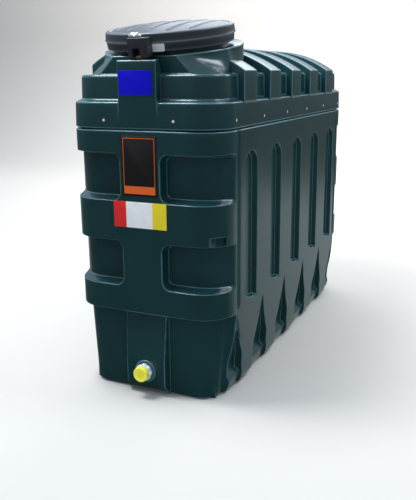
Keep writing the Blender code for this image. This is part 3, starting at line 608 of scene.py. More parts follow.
# %% [markdown]
# ## The roof's ribs
#
# Each rib is a broad band that climbs one side from the ledge, turns a crisp corner, follows a round arc
# and comes down again. Its section is carried along that path: eased edges on top, straight sides, and a
# small fillet where the sides reach the surface below.

# %% Paths along a rib: its top, and the surface that it stands on
def rib_arc(x):
    """Height of a rib's top at x: an arc of 0.621 m radius through the top of its side."""
    return 1.433 - 0.621 + np.sqrt(0.621 ** 2 - x ** 2)


def rib_half_path(stop, lift=0.0):
    """Top path and footing path from the ledge up the side and in to a stop: (x, z, foot x, foot z).

    The side is straight, the corner is a curve pulled towards one point, and the top follows the arc.
    """
    side_top, pull, bend_x = 1.3205 + lift, 1.3257 + lift, 0.3455
    up = np.linspace(LEDGE - 0.010, side_top, 9)
    t = np.linspace(0, 1, 8)[1:]
    bend_z = rib_arc(bend_x) + lift
    corner_x = (1 - t) ** 2 * HALF + 2 * t * (1 - t) * HALF + t ** 2 * bend_x
    corner_z = (1 - t) ** 2 * side_top + 2 * t * (1 - t) * pull + t ** 2 * bend_z
    count = max(6, int((bend_x - stop) / 0.008))
    over_x = np.linspace(bend_x, stop, count)[1:]
    turn = np.linspace(0, math.pi / 2, 8)[1:]
    share = np.linspace(0, 1, count)[1:]
    foot_x = mix(0.3080 - 0.0040 * share, stop, share)
    foot_z = roof_height(foot_x, 0.80)
    return (np.concatenate([np.full(9, HALF), corner_x, over_x]),
            np.concatenate([up, corner_z, rib_arc(over_x) + lift]),
            np.concatenate([np.full(9, 0.3195), 0.3080 + 0.0115 * np.cos(turn), foot_x]),
            np.concatenate([np.linspace(LEDGE - 0.004, TIER - 0.012, 9), TIER - 0.012 + 0.012 * np.sin(turn),
                            foot_z]))


def whole_path():
    """The half path and its mirror image, joined at the crown."""
    x, z, foot_x, foot_z = rib_half_path(0.0)
    return (np.concatenate([x, -x[-2::-1]]), np.concatenate([z, z[-2::-1]]),
            np.concatenate([foot_x, -foot_x[-2::-1]]), np.concatenate([foot_z, foot_z[-2::-1]]))


print("points along a whole rib", len(whole_path()[0]))


# %% The section and the sweep
def rib_section(ease, fillet=0.006):
    """The section's near half: (across from the side's plane, depth below the top, height over the foot)."""
    t = np.linspace(0, math.pi / 2, 6)
    foot = [(fillet, None, -0.004)] + [(fillet - fillet * math.sin(a), None, fillet - fillet * math.cos(a))
                                       for a in t]
    top = [(-ease * (1 - math.cos(a)), ease * (1 - math.sin(a)), None) for a in t]
    return foot + top


def band(name, path, near, far, node, ease=0.0038, trim=False, side=1):
    """A rib's section carried along its path, between two planes across the tank.

    A trimmed rib starts where it meets the neck's round wall.
    """
    x, z, foot_x, foot_z = path
    depth = np.hypot(x - foot_x, z - foot_z)
    section = rib_section(ease)
    share, across = [], []
    for out, down, over in section:
        share.append((depth - over) / depth if down is None else down / depth)
        across.append(out)
    share, across = np.stack(share, 1), np.array(across)
    rows = len(x)
    start = np.full(rows, near)
    if trim:
        start = np.maximum(near, NECK_Y + np.sqrt(np.clip((NECK_R - 0.006) ** 2 - x ** 2, 0, None)))
        start = np.where(np.abs(x) < NECK_R - 0.006, start, near)
    top_flat = mix(start[:, None] + ease, far - ease, np.linspace(0, 1, 5)[None, 1:-1])
    share = np.concatenate([share, np.zeros((rows, 3)), share[:, ::-1]], axis=1)
    near_side = start[:, None] - across[None, :]
    far_side = far + across[None, ::-1] + 0 * start[:, None]
    back = np.concatenate([near_side, top_flat, far_side], axis=1)
    wide_x = side * mix(x[:, None], foot_x[:, None], share)
    high_z = mix(z[:, None], foot_z[:, None], share)
    cols = share.shape[1]
    faces = quads(rows, cols, wrap_cols=True).tolist()
    faces += [list(range(cols)), list(range((rows - 1) * cols, rows * cols))]
    return build(name, to_world(wide_x, back, high_z), faces, stands_for=[node])


for number in (2, 3, 4, 5):
    start = 0.230 + 0.302 * (number - 1)
    band(f"rib_band_{number}", whole_path(), start, start + 0.138, f"roof_rib_{number}", trim=number == 2)
band("rib_stub_right", rib_half_path(0.258), 0.230, 0.368, "roof_rib_1_right")
band("rib_stub_left", rib_half_path(0.258, lift=0.029), 0.230, 0.368, "roof_rib_1_left", ease=0.009, side=-1)


# %% [markdown]
# ## The hatch's neck
#
# The neck is an upright round whose rim tilts forwards. In front its wall is cut flat behind the panel, and
# a slanted shoulder widens it on each side. Seen from the neck's axis, every height has one distance for
# every direction, so the whole collar is one closed profile swept round that axis.

# %% The neck and its shoulders
def ray_to_line(s, c, p, q):
    """Distance along the direction (s, c) to the line through p and q: a ratio of two cross products."""
    return (p[0] * q[1] - p[1] * q[0]) / (s * (q[1] - p[1]) - c * (q[0] - p[0]))


def angle_size(angle):
    """The angle from straight ahead, whichever side it lies."""
    return np.abs(np.arctan2(np.sin(angle), np.cos(angle)))


def neck_reach(angle, z):
    """Distance from the neck's axis: a circle, widened by the shoulders and cut by the flat front."""
    c = np.cos(angle)
    heights = [1.312, 1.326, 1.348, 1.368, 1.400]
    front = (np.interp(z, heights, [0.204, 0.190, 0.169, 0.150, 0.119]), NECK_Y - NECK_FRONT + 0 * z)
    bend = (np.interp(z, heights, [0.293, 0.270, 0.234, 0.200, 0.146]),
            NECK_Y - np.interp(z, heights, [0.143, 0.135, 0.124, 0.109, 0.085]))
    side = (np.interp(z, heights, [0.2965, 0.294, 0.291, 0.286, 0.279]), 0.0945 + 0 * z)
    safe = np.clip(angle_size(angle), math.radians(12), math.radians(88))
    s2, c2 = np.sin(safe), np.cos(safe)
    shoulder = soft_min(ray_to_line(s2, c2, front, bend), ray_to_line(s2, c2, bend, side), 0.004)
    shoulder = soft_min(shoulder, side[0] / s2, 0.006)
    shoulder = mix(0.2, shoulder, soft((c + 0.16) / 0.10))
    wide = soft_max(NECK_R + 0 * z, shoulder, 0.008)
    return soft_min(wide, (NECK_Y - NECK_FRONT) / np.maximum(c, 0.2), 0.004)


def rim_height(back):
    """Height of the tilted rim's plane."""
    return LID_Z + (back - LID_Y) * math.tan(TILT) - 0.0148 / math.cos(TILT)


print("rim's height at the front", round(rim_height(NECK_FRONT), 4))


# %% The whole collar
def neck_collar():
    """The closed profile: outer wall, rounded rim, flat rim, upstand, throat and underside.

    The rim's height depends on its place and its place on its height, so the two are found in turn.
    """
    angle = np.concatenate([np.linspace(-1.75, 1.75, 301), np.linspace(1.75, 2 * math.pi - 1.75, 80)[1:-1]])
    angle = angle[None, :]
    sin, cos = np.sin(angle), np.cos(angle)
    z_rim = rim_height(NECK_Y - NECK_R * cos)
    for _ in range(3):
        z_rim = rim_height(NECK_Y - neck_reach(angle, z_rim) * cos)
    climb = np.linspace(0, 1, 22)[1:, None]
    z_wall = np.concatenate([np.linspace(1.3095, 1.3185, 8)[:, None] + 0 * z_rim,
                             mix(1.3185 + 0 * z_rim, z_rim - 0.006, climb)])
    flare = np.clip((1.3175 - z_wall) / 0.006, 0, 1)
    reach_wall = neck_reach(angle + 0 * z_wall, z_wall) + 0.006 * (1 - np.sqrt(1 - flare ** 2))
    ease = np.linspace(0, math.pi / 2, 7)[1:, None]
    z_round = z_rim - 0.006 + 0.006 * np.sin(ease)
    reach_round = reach_wall[-1:] - 0.006 * (1 - np.cos(ease))
    reach, z = np.concatenate([reach_wall, reach_round]), np.concatenate([z_wall, z_round])
    outer = to_world(reach * sin, NECK_Y - reach * cos, z)
    tilted = [(0.2370, 0.2140, -0.0148), (0.2370, 0.2140, 0.026), (0.2350, 0.2120, 0.0292),
              (0.2310, 0.2080, 0.0292), (0.2295, 0.2065, 0.027), (0.2295, 0.2065, -0.030)]
    inner = []
    for radius, cut, n in tilted:
        r = flat_front(cos, radius, cut)
        inner.append(lid_to_world(r * sin, -r * cos, n))
    for radius, cut in ((0.2295, 0.2065), (0.2500, 0.2250)):
        r = flat_front(cos, radius, cut)
        inner.append(to_world(r * sin, LID_Y - r * cos, 1.300))
    points = np.concatenate([outer] + inner)
    faces = quads(*points.shape[:2], wrap_rows=True, wrap_cols=True)
    nodes = ["hatch_neck", "neck_left_shoulder", "neck_right_shoulder"]
    return build("neck_collar", points, faces, stands_for=nodes, crease=50)


neck_collar()


# %% [markdown]
# ## The round lid
#
# The lid is a shallow black moulding: a skirt, a step, a rounded shoulder, a groove and a crowned top
# with straight stiffening ribs. A closed profile is swept round the lid's axis, and the ribs are soft
# ridges added to the height of the top.

# %% Ribs on the lid's top
CROWN_ROWS = 92
# Each rib is its place across the lid and how far it reaches to front and back
LID_RIBS = [(-0.175, 0.150), (-0.095, 0.215), (0.000, 0.232), (0.085, 0.218), (0.160, 0.165)]


def lid_top_ribs(x, v, r):
    """Height of the straight ribs: a soft ridge across x, faded towards each rib's ends."""
    rise = np.zeros_like(x)
    for middle, reach in LID_RIBS:
        ridge = crisp((0.0068 - np.abs(x - middle)) / 0.0030)
        ends = soft((reach * 0.92 - np.abs(v)) / 0.02)
        rise = np.maximum(rise, ridge * ends)
    return 0.0034 * rise * crisp((0.229 - r) / 0.005)


print("height of a rib on the lid", lid_top_ribs(np.zeros(1), np.zeros(1), np.zeros(1))[0])


# %% The lid's profile and the sweep
def lid_profile():
    """(radius, height) from the crown down the outside, under the skirt and back along the ceiling."""
    crown_r = np.linspace(0.0, 0.228, CROWN_ROWS)
    crown_n = 0.0825 - 0.0145 * (crown_r / 0.236) ** 2
    outside = np.array([
        [0.2300, 0.0688], [0.2345, 0.0684], [0.2366, 0.0676], [0.2378, 0.0660], [0.2392, 0.0646],
        [0.2408, 0.0648], [0.2420, 0.0664], [0.2432, 0.0682], [0.2450, 0.0689], [0.2480, 0.0688],
        [0.2540, 0.0681], [0.2574, 0.0672], [0.2596, 0.0655], [0.2609, 0.0630], [0.2616, 0.0598],
        [0.2622, 0.0550], [0.2630, 0.0480], [0.2638, 0.0410], [0.2646, 0.0376], [0.2655, 0.0356],
        [0.2660, 0.0336], [0.2658, 0.0318], [0.2650, 0.0306], [0.2634, 0.0298], [0.2618, 0.0288],
        [0.2608, 0.0270], [0.2600, 0.0180], [0.2592, 0.0080], [0.2588, 0.0030], [0.2580, 0.0012],
        [0.2566, 0.0004], [0.2546, 0.0010], [0.2538, 0.0030], [0.2536, 0.0150], [0.2536, 0.0290],
        [0.2536, 0.0302]])
    ceiling_r = np.linspace(0.2520, 0.0, 12)
    ceiling = np.stack([ceiling_r, np.full(12, 0.0302)], 1)
    return np.concatenate([np.stack([crown_r, crown_n], 1), outside, ceiling])


def lid_shell():
    """The profile swept round, with the ribs added where the profile is on the crown."""
    profile = lid_profile()
    turn = np.linspace(0, 2 * math.pi, 601)[None, :-1]
    r, n = profile[:, :1], profile[:, 1:]
    x, v = r * np.sin(turn), -r * np.cos(turn)
    on_top = (np.arange(len(profile)) < CROWN_ROWS)[:, None]
    n = n + np.where(on_top, lid_top_ribs(x, v, r + 0 * x), 0.0)
    return build("lid_shell", lid_to_world(x, v, n), quads(*x.shape, wrap_cols=True), body="lid",
                 stands_for=["hatch_lid"], crease=60)


lid_shell()


# %% [markdown]
# ## Rounded blocks, for brackets and plates
#
# Brackets are outlines with a thickness and eased edges. The outline's corners are rounded with curves,
# and at each face four copies of it, each a little further in, make the eased edge.

# %% Outlines with eased edges
def rounded_outline(corners, radius):
    """An outline with each corner replaced by an arc, drawn as a curve between its two tangent points."""
    corners = np.asarray(corners, float)
    before, after = np.roll(corners, 1, axis=0), np.roll(corners, -1, axis=0)
    to_before, to_after = before - corners, after - corners
    len_before = np.linalg.norm(to_before, axis=1, keepdims=True)
    len_after = np.linalg.norm(to_after, axis=1, keepdims=True)
    cut = np.minimum(radius, 0.45 * np.minimum(len_before, len_after))
    a = corners + to_before / len_before * cut
    b = corners + to_after / len_after * cut
    t = np.linspace(0, 1, 5)[None, :, None]
    curve = (1 - t) ** 2 * a[:, None] + 2 * t * (1 - t) * corners[:, None] + t ** 2 * b[:, None]
    return curve.reshape(-1, 2)


def inward(outline, distance):
    """The outline moved in by a distance, along the mean of its neighbouring edges' normals."""
    area = np.sum(outline[:, 0] * np.roll(outline[:, 1], -1) - np.roll(outline[:, 0], -1) * outline[:, 1])
    edge = np.roll(outline, -1, axis=0) - np.roll(outline, 1, axis=0)
    normal = np.stack([edge[:, 1], -edge[:, 0]], 1) * np.sign(area)
    normal /= np.maximum(np.linalg.norm(normal, axis=1, keepdims=True), 1e-12)
    return outline - normal * distance


def slab(corners, low, high, ease=0.0015, radius=0.003):
    """Points (a, b, c) and faces of an outline carried from c = low to c = high with eased edges."""
    outline = rounded_outline(corners, radius)
    t = np.linspace(0, math.pi / 2, 4)
    rings = [(ease * (1 - math.sin(a)), low + ease * (1 - math.cos(a))) for a in t]
    rings += [(ease * (1 - math.sin(a)), high - ease * (1 - math.cos(a))) for a in t[::-1]]
    points = [np.concatenate([inward(outline, d), np.full((len(outline), 1), c)], axis=1)
              for d, c in rings]
    rows, cols = len(rings), len(outline)
    faces = quads(rows, cols, wrap_cols=True).tolist()
    faces += [list(range(cols)), list(range((rows - 1) * cols, rows * cols))]
    return np.concatenate(points), faces


print("points round a rounded square", len(rounded_outline([(0, 0), (1, 0), (1, 1), (0, 1)], 0.1)))


# %% [markdown]
# ## The lock
#
# A bracket on the lid's front edge holds a bright lock with a squat round head, and a brass tongue hangs
# between the bracket's legs. The bracket and the tongue are slabs in the lid's own frame, and the head is
# a swept profile, squashed from front to back, with a keyway pressed into its top.

# %% The hasp, the lock and its tongue
def lid_block(name, outline, front, near, ease, radius, node):
    """An outline seen from the front of the lid, carried back from one place along the tilt to another."""
    points, faces = slab(outline, front, near, ease=ease, radius=radius)
    world = lid_to_world(points[:, 0], points[:, 2], points[:, 1])
    return build(name, world, faces, body="lid", stands_for=[node], crease=40)


def dome():
    """The bright lock: a squat barrel with a domed top and a keyway."""
    t = np.linspace(0, math.pi / 2, 12)
    r = np.concatenate([[0.0], 0.0275 * np.sin(t)[1:], [0.0275, 0.0262, 0.0]])
    n = np.concatenate([[0.0235], 0.0035 + 0.0200 * np.cos(t)[1:], [0.0008, 0.0, 0.0]])
    turn = np.linspace(0, 2 * math.pi, 65)[None, :-1]
    x = r[:, None] * np.sin(turn) - 0.005
    v = r[:, None] * np.cos(turn) * 0.52 - 0.2810
    height = n[:, None] + 0 * x
    slot_mark = soft((0.006 - np.abs(x + 0.002)) / 0.0015) * soft((0.016 - np.abs(v + 0.2880)) / 0.002)
    height = np.where(height > 0.006, height - 0.0050 * slot_mark, height) * 0.82 + 0.0563
    return build("lock_barrel", lid_to_world(x, v, height), quads(*x.shape, wrap_cols=True), body="lid",
                 stands_for=["lock_dome"], crease=50)


HASP = [(-0.031, -0.016), (-0.0127, -0.016), (-0.0127, 0.018), (0.020, 0.018), (0.020, -0.016),
        (0.0526, -0.016), (0.0526, 0.056), (-0.031, 0.056)]
TONGUE = [(0.0, -0.0190), (0.0280, -0.0190), (0.0280, -0.0090), (0.0, -0.0090)]
lid_block("lock_hasp", HASP, -0.2995, -0.2560, 0.0020, 0.0040, "lid_hasp")
dome()
lid_block("lock_tongue", TONGUE, -0.2955, -0.2620, 0.0012, 0.003, "lock_bolt")


# %% [markdown]
# ## The plates
#
# Three plates are stuck on the front, and a small card is bent round the lid's skirt. They are thin rounded
# sheets, and their fields of colour come from their finishes further down.

# %% Flat plates on the front plane and the lid's tag
def plate(name, left, right, low, high, node, corner):
    """A thin rounded sheet lying on the front plane."""
    gap, thick = 0.0002, 0.0012
    points, faces = slab([(left, low), (right, low), (right, high), (left, high)], gap, gap + thick,
                         ease=0.0004, radius=corner)
    return build(name, to_world(points[:, 0], -points[:, 2], points[:, 1]), faces, stands_for=[node],
                 crease=35)


plate("plate_notice", -0.077, 0.068, 1.235, 1.327, "notice_plate", 0.002)
plate("plate_data", -0.078, 0.078, 0.847, 1.081, "data_plate", 0.005)
plate("plate_colours", -0.122, 0.116, 0.718, 0.823, "colour_plate", 0.002)


def tag():
    """A card bent round the lid's skirt."""
    card = [(-0.0265, -0.001), (0.0265, -0.001), (0.0265, 0.0285), (-0.0265, 0.0285)]
    points, faces = slab(card, 0.0, 0.0013, ease=0.0004, radius=0.006)
    lean = 0.2592 + (points[:, 1] - 0.008) * 0.09
    angle = math.radians(15.9) + points[:, 0] / 0.2620
    r = lean + 0.0022 + points[:, 2]
    return build("tag_card", lid_to_world(r * np.sin(angle), -r * np.cos(angle), points[:, 1]), faces,
                 body="lid", stands_for=["lid_tag"], crease=35)


tag()


# %% [markdown]
# ## Turned pieces with grips: the outlet and the caps
#
# A screw cap is a profile swept round an axis, with grips round its edge: the radius is raised and
# lowered by a cosine of many turns, only where the profile is on the rim.

# %% The outlet's boss, collar and cap
OUTLET_Z = 0.105


def turned(profile, lobes, depth, steps):
    """Points (a, b, c): profile radius times cosine and sine, with lobes where the third number is 1."""
    profile = np.asarray(profile, float)
    turn = np.linspace(0, 2 * math.pi, steps + 1)[None, :-1]
    wave = 0.5 + 0.5 * np.cos(lobes * turn)
    r = profile[:, :1] - depth * profile[:, 2:3] * (1 - wave)
    return r * np.cos(turn), r * np.sin(turn), profile[:, 1:2] + 0 * turn


def outlet(name, profile, lobes, depth, node, steps=96):
    """A turned piece whose axis runs forwards from the outlet."""
    a, b, c = turned(profile, lobes, depth, steps)
    return build(name, to_world(a, -c, OUTLET_Z + b), quads(*a.shape, wrap_cols=True), stands_for=[node],
                 crease=45)


outlet("outlet_ring", [(0.0, -0.002, 0), (0.048, -0.002, 0), (0.048, 0.0030, 0), (0.0470, 0.0050, 0),
                       (0.0445, 0.0062, 0), (0.0420, 0.0050, 0), (0.0405, 0.0020, 0), (0.0395, 0.0012, 0),
                       (0.0370, 0.0014, 0), (0.0355, 0.0062, 0), (0.0340, 0.0075, 0), (0.0, 0.0075, 0)],
       1, 0.0, "outlet_boss")
outlet("outlet_nut", [(0.0, 0.0078, 0), (0.0325, 0.0078, 0), (0.0360, 0.0092, 1), (0.0366, 0.0110, 1),
                      (0.0366, 0.0250, 1), (0.0358, 0.0268, 1), (0.0330, 0.0276, 0), (0.0, 0.0276, 0)],
       8, 0.0035, "outlet_collar")
outlet("outlet_plug", [(0.0, 0.0280, 0), (0.0290, 0.0280, 0), (0.0322, 0.0290, 1), (0.0328, 0.0306, 1),
                       (0.0328, 0.0450, 1), (0.0321, 0.0474, 1), (0.0302, 0.0490, 0), (0.0262, 0.0496, 0),
                       (0.0240, 0.0488, 0), (0.0228, 0.0470, 0), (0.0060, 0.0468, 0), (0.0, 0.0468, 0)],
       28, 0.0013, "outlet_cap", steps=224)


# %% [markdown]
# ## The caps on the inner tank
#
# Under the lid the inner tank carries four screwed caps. Each new cap takes its middle, its width and its
# height from the solid that it replaces, so that it stays inside that solid's box.

# %% Caps with grips, sized by their solids
def tank_cap(name, node, lobes, groove):
    """A turned cap: a flange, a gripped wall, a step and a shallow dished top."""
    solid = frame["nodes"][node]
    corners = np.array([tuple(solid.matrix_world @ Vector(corner)) for corner in solid.bound_box])
    low, high = corners.min(axis=0), corners.max(axis=0)
    radius, tall = (high[:2] - low[:2]).min() / 2, high[2] - low[2]
    shape = [(0.0, 0.0, 0), (0.97, 0.0, 0), (1.0, 0.02, 0), (1.0, 0.10, 0), (0.97, 0.13, 0), (0.93, 0.14, 0),
             (0.92, 0.17, 1), (0.91, 0.70, 1), (0.89, 0.78, 1), (0.85, 0.82, 0), (0.76, 0.83, 0),
             (0.73, 0.86, 0), (0.72, 0.96, 0), (0.68, 1.0, 0), (0.50, 1.0, 0), (0.44, 0.96, 0),
             (0.0, 0.95, 0)]
    profile = [(r * radius, h * tall, grip) for r, h, grip in shape]
    a, b, c = turned(profile, lobes, groove * radius, 8 * lobes)
    middle = (low + high) / 2
    points = np.stack([middle[0] + a, middle[1] + b, low[2] + c], axis=-1)
    return build(name, points, quads(*a.shape, wrap_cols=True), stands_for=[node], crease=35)


tank_cap("cap_inspection", "inspection_cap", 36, 0.025)
tank_cap("cap_fill", "fill_cap", 24, 0.040)
tank_cap("cap_vent", "vent_cap", 20, 0.050)
tank_cap("cap_gauge", "gauge_cap", 12, 0.060)


# %% [markdown]
# ## The screws of the hood
#
# The hood is held down by a row of pan-headed screws, each in a dark washer. They are sunk almost flush,
# so each pair is two thin turned discs that stand a fraction of a millimetre proud of the skirt. The heads
# are plated steel, but at this size a mirror of the dark ground would be lost, so they get the white finish,
# a painted highlight that stands in for the bright reflection of the plating.

# %% Washers and heads, all of one kind joined in one piece
SCREW_Z = 1.140
SCREW_PLACES = [(side * 0.153, 0.0, 0) for side in (1, -1)] + [
    (side * HALF, 0.147 + 0.312 * k, side) for side in (1, -1) for k in range(6)]


def discs(name, profile):
    """One small turned disc at every screw: out is along -Y on the front and along X on the sides."""
    a, b, c = turned(profile, 1, 0.0, 24)
    skirt, grid = 0.0003, quads(*a.shape, wrap_cols=True)
    parts = []
    for x, back, side in SCREW_PLACES:
        if side:
            parts.append((to_world(side * (HALF - skirt + c), back + a, SCREW_Z + b), grid))
        else:
            parts.append((to_world(x + a, skirt - c, SCREW_Z + b), grid))
    points, faces = join_parts(parts)
    return build(name, points, faces, crease=40)


discs("screw_washers", [(0.0, -0.001, 0), (0.0098, -0.001, 0), (0.0100, 0.0001, 0), (0.0, 0.0001, 0)])
discs("screw_heads", [(0.0, -0.0005, 0), (0.0056, -0.0005, 0), (0.0054, 0.0002, 0), (0.0030, 0.0003, 0),
                      (0.0, 0.0003, 0)])


# %% [markdown]
# ## Materials
#
# The green is coloured through, so it has no paint edge: what it has is a slight unevenness from the
# mould, fine dust where water dries, lighter edges that are partly real rubbing and partly painted
# highlight, and a satin skin that turns bright at a low angle. Each finish on the tank is a small node tree
# on Object coordinates.

# %% Helpers that wire a finish
# Where a Mix node keeps its share, its two colours and its result
MIX_SHARE, MIX_A, MIX_B, MIX_OUT = 0, 6, 7, 2


def node_maker(tree):
    """A function that adds a node to a tree and sets its inputs, or its own settings, by name."""
    def node(kind, **settings):
        made = tree.nodes.new(kind)
        for key, value in settings.items():
            if key in made.inputs:
                made.inputs[key].default_value = value
            else:
                setattr(made, key, value)
        return made

    return node


def new_finish(name):
    """A material with its shader, the function that links sockets and the one that makes nodes."""
    finish = bpy.data.materials.new(name)
    finish.use_nodes = True
    tree = finish.node_tree
    return finish, tree.nodes["Principled BSDF"], tree.links.new, node_maker(tree)


def ramp(node, stops):
    """A colour ramp from (place, colour) pairs."""
    made = node("ShaderNodeValToRGB")
    while len(made.color_ramp.elements) < len(stops):
        made.color_ramp.elements.new(0.5)
    for element, (place, colour) in zip(made.color_ramp.elements, stops):
        element.position = place
        element.color = (*colour, 1.0)
    return made


def spread_roughness(node, link, shader, source, smooth, dull, reach=(0.0, 1.0)):
    """Roughness from smooth to dull as the source goes over its reach."""
    spread = node("ShaderNodeMapRange")
    for socket, value in zip(("From Min", "From Max", "To Min", "To Max"), (*reach, smooth, dull)):
        spread.inputs[socket].default_value = value
    link(source, spread.inputs["Value"])
    link(spread.outputs["Result"], shader.inputs["Roughness"])


print("finishes before the first", len(bpy.data.materials))


# %% Moulded plastics
# The cool tint of the lighter edges: a painted highlight of the pale sky, mixed with real rubbing
RUBBED_AND_SHEEN_TINT = (0.75, 1.05, 1.25)


def plastic(name, dark, light, dust, rough, grain=220.0, bump=0.06, dust_amount=0.35, shine=0.38):
    """A moulded plastic: patches of two near shades, lighter edges that are partly rubbing and partly
    painted highlight, drying marks, and a fine grain.

    A lighter edge is three times the light shade plus a tenth of a cool tint, the tint of the painted
    highlight.
    """
    finish, shader, link, node = new_finish(name)
    where = node("ShaderNodeTexCoord")
    patches = node("ShaderNodeTexNoise", Scale=3.2, Detail=5.0, Roughness=0.55)
    streaks = node("ShaderNodeTexNoise", Scale=9.0, Detail=6.0, Roughness=0.62)
    squeeze = node("ShaderNodeMapping")
    squeeze.inputs["Scale"].default_value = (1.0, 1.0, 0.22)
    link(where.outputs["Object"], patches.inputs["Vector"])
    link(where.outputs["Object"], squeeze.inputs["Vector"])
    link(squeeze.outputs["Vector"], streaks.inputs["Vector"])
    shade = ramp(node, [(0.30, dark), (0.72, light)])
    link(patches.outputs["Fac"], shade.inputs["Fac"])
    marks = ramp(node, [(0.50, (0, 0, 0)), (0.95, (1, 1, 1))])
    link(streaks.outputs["Fac"], marks.inputs["Fac"])
    # Share of the lighter edge colour at each point: partly real rubbing, partly painted highlight
    wear_and_sheen = node("ShaderNodeAttribute", attribute_name="wear_and_sheen")
    layer = node("ShaderNodeMix", data_type="RGBA")
    layer.inputs[MIX_B].default_value = (*dust, 1.0)
    amount = node("ShaderNodeMath", operation="MULTIPLY")
    amount.inputs[1].default_value = dust_amount
    link(marks.outputs["Color"], amount.inputs[0])
    link(amount.outputs[0], layer.inputs[MIX_SHARE])
    link(shade.outputs["Color"], layer.inputs[MIX_A])
    # The lighter edge colour: real rubbing plus a painted highlight with a cool tint
    rubbed_and_sheen = [min(1.0, c * 3.0 + 0.10 * tint) for c, tint in zip(light, RUBBED_AND_SHEEN_TINT)]
    edge = node("ShaderNodeMix", data_type="RGBA")
    edge.inputs[MIX_B].default_value = (*rubbed_and_sheen, 1.0)
    link(wear_and_sheen.outputs["Fac"], edge.inputs[MIX_SHARE])
    link(layer.outputs[MIX_OUT], edge.inputs[MIX_A])
    link(edge.outputs[MIX_OUT], shader.inputs["Base Color"])
    spread_roughness(node, link, shader, streaks.outputs["Fac"], rough - 0.02, rough + 0.04, (0.3, 0.7))
    fine = node("ShaderNodeTexNoise", Scale=grain, Detail=3.0, Roughness=0.5)
    link(where.outputs["Object"], fine.inputs["Vector"])
    broad = node("ShaderNodeTexNoise", Scale=14.0, Detail=2.0, Roughness=0.45)
    link(where.outputs["Object"], broad.inputs["Vector"])
    first = node("ShaderNodeBump", Strength=bump, Distance=0.0006)
    second = node("ShaderNodeBump", Strength=bump, Distance=0.002)
    link(broad.outputs["Fac"], second.inputs["Height"])
    link(fine.outputs["Fac"], first.inputs["Height"])
    link(second.outputs["Normal"], first.inputs["Normal"])
    link(first.outputs["Normal"], shader.inputs["Normal"])
    shader.inputs["IOR"].default_value = 1.5
    shader.inputs["Specular IOR Level"].default_value = shine
    return finish


GREEN = plastic("green_moulded", (0.0044, 0.0310, 0.0335), (0.0062, 0.0400, 0.0425), (0.030, 0.058, 0.060),
                0.21, dust_amount=0.12, shine=0.5)
BLACK = plastic("black_moulded", (0.0235, 0.0250, 0.0295), (0.0320, 0.0342, 0.0400), (0.050, 0.054, 0.060),
                0.34, dust_amount=0.20, shine=0.34)
INNER = plastic("inner_moulded", (0.006, 0.011, 0.012), (0.012, 0.019, 0.021), (0.06, 0.06, 0.055), 0.50,
                dust_amount=0.40)
WHITE = plastic("white_moulded", (0.60, 0.61, 0.61), (0.74, 0.75, 0.75), (0.42, 0.42, 0.40), 0.36,
                dust_amount=0.25)
YELLOW = plastic("yellow_moulded", (0.93, 0.74, 0.008), (0.98, 0.86, 0.012), (0.55, 0.42, 0.06), 0.34,
                 dust_amount=0.15)
BLUE = plastic("blue_sheet", (0.002, 0.001, 0.50), (0.003, 0.002, 0.62), (0.01, 0.01, 0.50), 0.40,
               grain=500.0, bump=0.03, dust_amount=0.12, shine=0.2)
print("plastics", len(bpy.data.materials))


# %% Metals
def metal(name, colour, rough, brush):
    """A metal with fine brushed lines and slight tarnish."""
    finish, shader, link, node = new_finish(name)
    where = node("ShaderNodeTexCoord")
    stretch = node("ShaderNodeMapping")
    stretch.inputs["Scale"].default_value = (1.0, 1.0, 14.0)
    lines = node("ShaderNodeTexNoise", Scale=brush, Detail=4.0)
    link(where.outputs["Object"], stretch.inputs["Vector"])
    link(stretch.outputs["Vector"], lines.inputs["Vector"])
    tone = ramp(node, [(0.35, tuple(c * 0.72 for c in colour)), (0.68, colour)])
    link(lines.outputs["Fac"], tone.inputs["Fac"])
    link(tone.outputs["Color"], shader.inputs["Base Color"])
    spread_roughness(node, link, shader, lines.outputs["Fac"], rough - 0.06, rough + 0.10)
    ripple = node("ShaderNodeBump", Strength=0.10, Distance=0.0004)
    link(lines.outputs["Fac"], ripple.inputs["Height"])
    link(ripple.outputs["Normal"], shader.inputs["Normal"])
    shader.inputs["Metallic"].default_value = 1.0
    return finish


STEEL = metal("bright_steel", (0.66, 0.67, 0.68), 0.24, 60.0)
BRASS = metal("plain_brass", (0.62, 0.36, 0.16), 0.30, 60.0)
print("plastics and metals", len(bpy.data.materials))


# %% [markdown]
# ## The plates' fields of colour
#
# The data plate is black with a thin orange line round it and an orange foot, and the colour plate is
# white between red and yellow. Tests of a point's place against two limits give a mask for each field, so
# the edges of the fields stay sharp at any distance.

